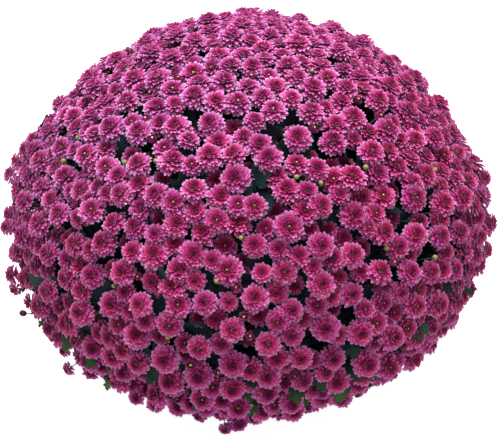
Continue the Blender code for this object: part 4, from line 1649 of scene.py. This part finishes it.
edge = inside_radius(SOIL_LEVEL) - 2 * FIT
hole = STUMP_RADIUS + FIT
soil_floor = POT_FLOOR + FIT
top = [(hole + (edge - hole) * k / SOIL_RINGS, SOIL_LEVEL) for k in range(SOIL_RINGS + 1)]
foot_edge = inside_radius(soil_floor) - 2 * FIT
hole_floor = SOIL_LEVEL - STUMP_DEPTH - FIT
bottom = [(foot_edge - SOIL_CORNER, soil_floor), (0, soil_floor)]
earth = spun([(0, hole_floor), (hole, hole_floor), *top, *bottom], SOIL_SIDES)
soil_draw = np.random.default_rng(37)
for vert in earth.verts:
    flat = math.hypot(vert.co.x, vert.co.y)
    if vert.co.z > SOIL_LEVEL - FIT and hole + 0.001 < flat < 0.97 * edge:
        roughness = soil_draw.uniform(-SOIL_ROUGHNESS, SOIL_ROUGHNESS)
        vert.co.z += SOIL_CRUMB * crumb(vert.co.x, vert.co.y) + roughness
print("soil faces:", len(earth.faces))

# %% Scatter loose crumbs and perlite
GRAINS = 90
GRAIN_SIZES = (0.0012, 0.0030)
GRAIN_AREA = (0.06, 0.86)
GRAIN_WILDNESS = 0.18
PERLITE_EVERY = 4

for k in range(GRAINS):
    turn, flat = soil_draw.uniform(0, 2 * math.pi), math.sqrt(soil_draw.uniform(*GRAIN_AREA)) * edge
    x, y = flat * math.cos(turn), flat * math.sin(turn)
    size = soil_draw.uniform(*GRAIN_SIZES)
    place = Vector((x, y, SOIL_LEVEL + SOIL_CRUMB * crumb(x, y) + 0.3 * size))
    grain = bmesh.ops.create_icosphere(earth, subdivisions=1, radius=size, matrix=Matrix.Translation(place))
    for vert in grain["verts"]:
        vert.co += Vector(soil_draw.normal(0, GRAIN_WILDNESS, 3)) * size
    if k % PERLITE_EVERY == 0:
        give_second_finish({face for vert in grain["verts"] for face in vert.link_faces})
print("soil faces with crumbs and perlite:", len(earth.faces))

# %% Paint and show the soil
soil_finish, tree, surface = new_finish("potting_soil", 0.95)
patches = use_group(tree, mottling, Scale=90.0, Detail=6.0)
fibres = use_group(tree, mottling, Scale=900.0, Detail=4.0)
colour = mixed(tree, patches, tint(34, 24, 18), tint(70, 52, 38))
paint(tree, surface, washed(tree, colour, fibres, 0.35, tint(104, 80, 58)))
add_bump(tree, surface, calc(tree, "ADD", patches, fibres), 0.0012, 0.9)

perlite_finish, tree, surface = new_finish("perlite", 0.9)
grains = use_group(tree, mottling, Scale=1200.0, Detail=3.0)
paint(tree, surface, mixed(tree, grains, tint(200, 198, 190), tint(240, 238, 232)))
add_bump(tree, surface, grains, 0.0004, 0.8)
add_piece("potting_soil", earth, [soil_finish, perlite_finish], "potting_soil", "soil")
print("potting soil ready")

# %% [markdown]
# ## Floor and light
#
# The photograph shows the plant on plain white, in soft light from above. A wide pale floor takes a faint
# shadow. It and the sky glow a little for the camera alone, so they look white without lighting the skirt from
# below. A pale sky fills the shade, and one large lamp overhead gives the blooms their lit tips.

# %% Lay the floor
FLOOR_REACH = 6
FLOOR_GLOW = 0.86

floor_shape = bmesh.new()
bmesh.ops.create_grid(floor_shape, x_segments=1, y_segments=1, size=FLOOR_REACH)
floor = show("floor", as_mesh(floor_shape, "floor"))
floor_finish, tree, surface = new_finish("pale_floor", 0.9)
grain = use_group(tree, mottling, Scale=3.0, Detail=2.0)
paint(tree, surface, mixed(tree, grain, tint(228, 228, 228), tint(233, 233, 233)))
surface.inputs["Emission Color"].default_value = (1, 1, 1, 1)
seen = add_node(tree, "LightPath").outputs["Is Camera Ray"]
plug(tree, surface.inputs["Emission Strength"], times(tree, seen, FLOOR_GLOW))
floor.data.materials.append(floor_finish)
print("floor ready")

# %% Light the stage
SKY_COLOUR = (0.97, 0.96, 0.98, 1)
SKY_LIGHT = 0.67
SKY_GLOW = 0.43
LAMP_PLACE = Vector((-0.03, 0.14, 2.4))
LAMP_AIM = Vector((0, 0, 0.2))
LAMP_WIDTH = 1.2
LAMP_POWER = 66

world = bpy.data.worlds.new("sky")
bpy.context.scene.world = world
world.use_nodes = True
sky = world.node_tree
background = sky.nodes["Background"]
background.inputs["Color"].default_value = SKY_COLOUR
seen = add_node(sky, "LightPath").outputs["Is Camera Ray"]
plug(sky, background.inputs["Strength"], calc(sky, "MULTIPLY_ADD", seen, SKY_GLOW, SKY_LIGHT))

lamp_data = bpy.data.lights.new("overhead", "AREA")
lamp_data.shape = "DISK"
lamp_data.size = LAMP_WIDTH
lamp_data.energy = LAMP_POWER
lamp = show("overhead", lamp_data)
lamp.location = LAMP_PLACE
lamp.rotation_euler = (LAMP_AIM - LAMP_PLACE).to_track_quat("-Z", "Y").to_euler()
bpy.context.scene.view_settings.view_transform = "Standard"
print("stage ready")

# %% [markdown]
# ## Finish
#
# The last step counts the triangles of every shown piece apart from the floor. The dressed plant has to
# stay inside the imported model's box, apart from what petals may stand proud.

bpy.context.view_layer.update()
shown = [made for made in bpy.context.scene.objects if made.type == "MESH" and not made.hide_render]
pieces = [made.data for made in shown if made is not floor]
print("triangles:", sum(len(face.vertices) - 2 for mesh in pieces for face in mesh.polygons))
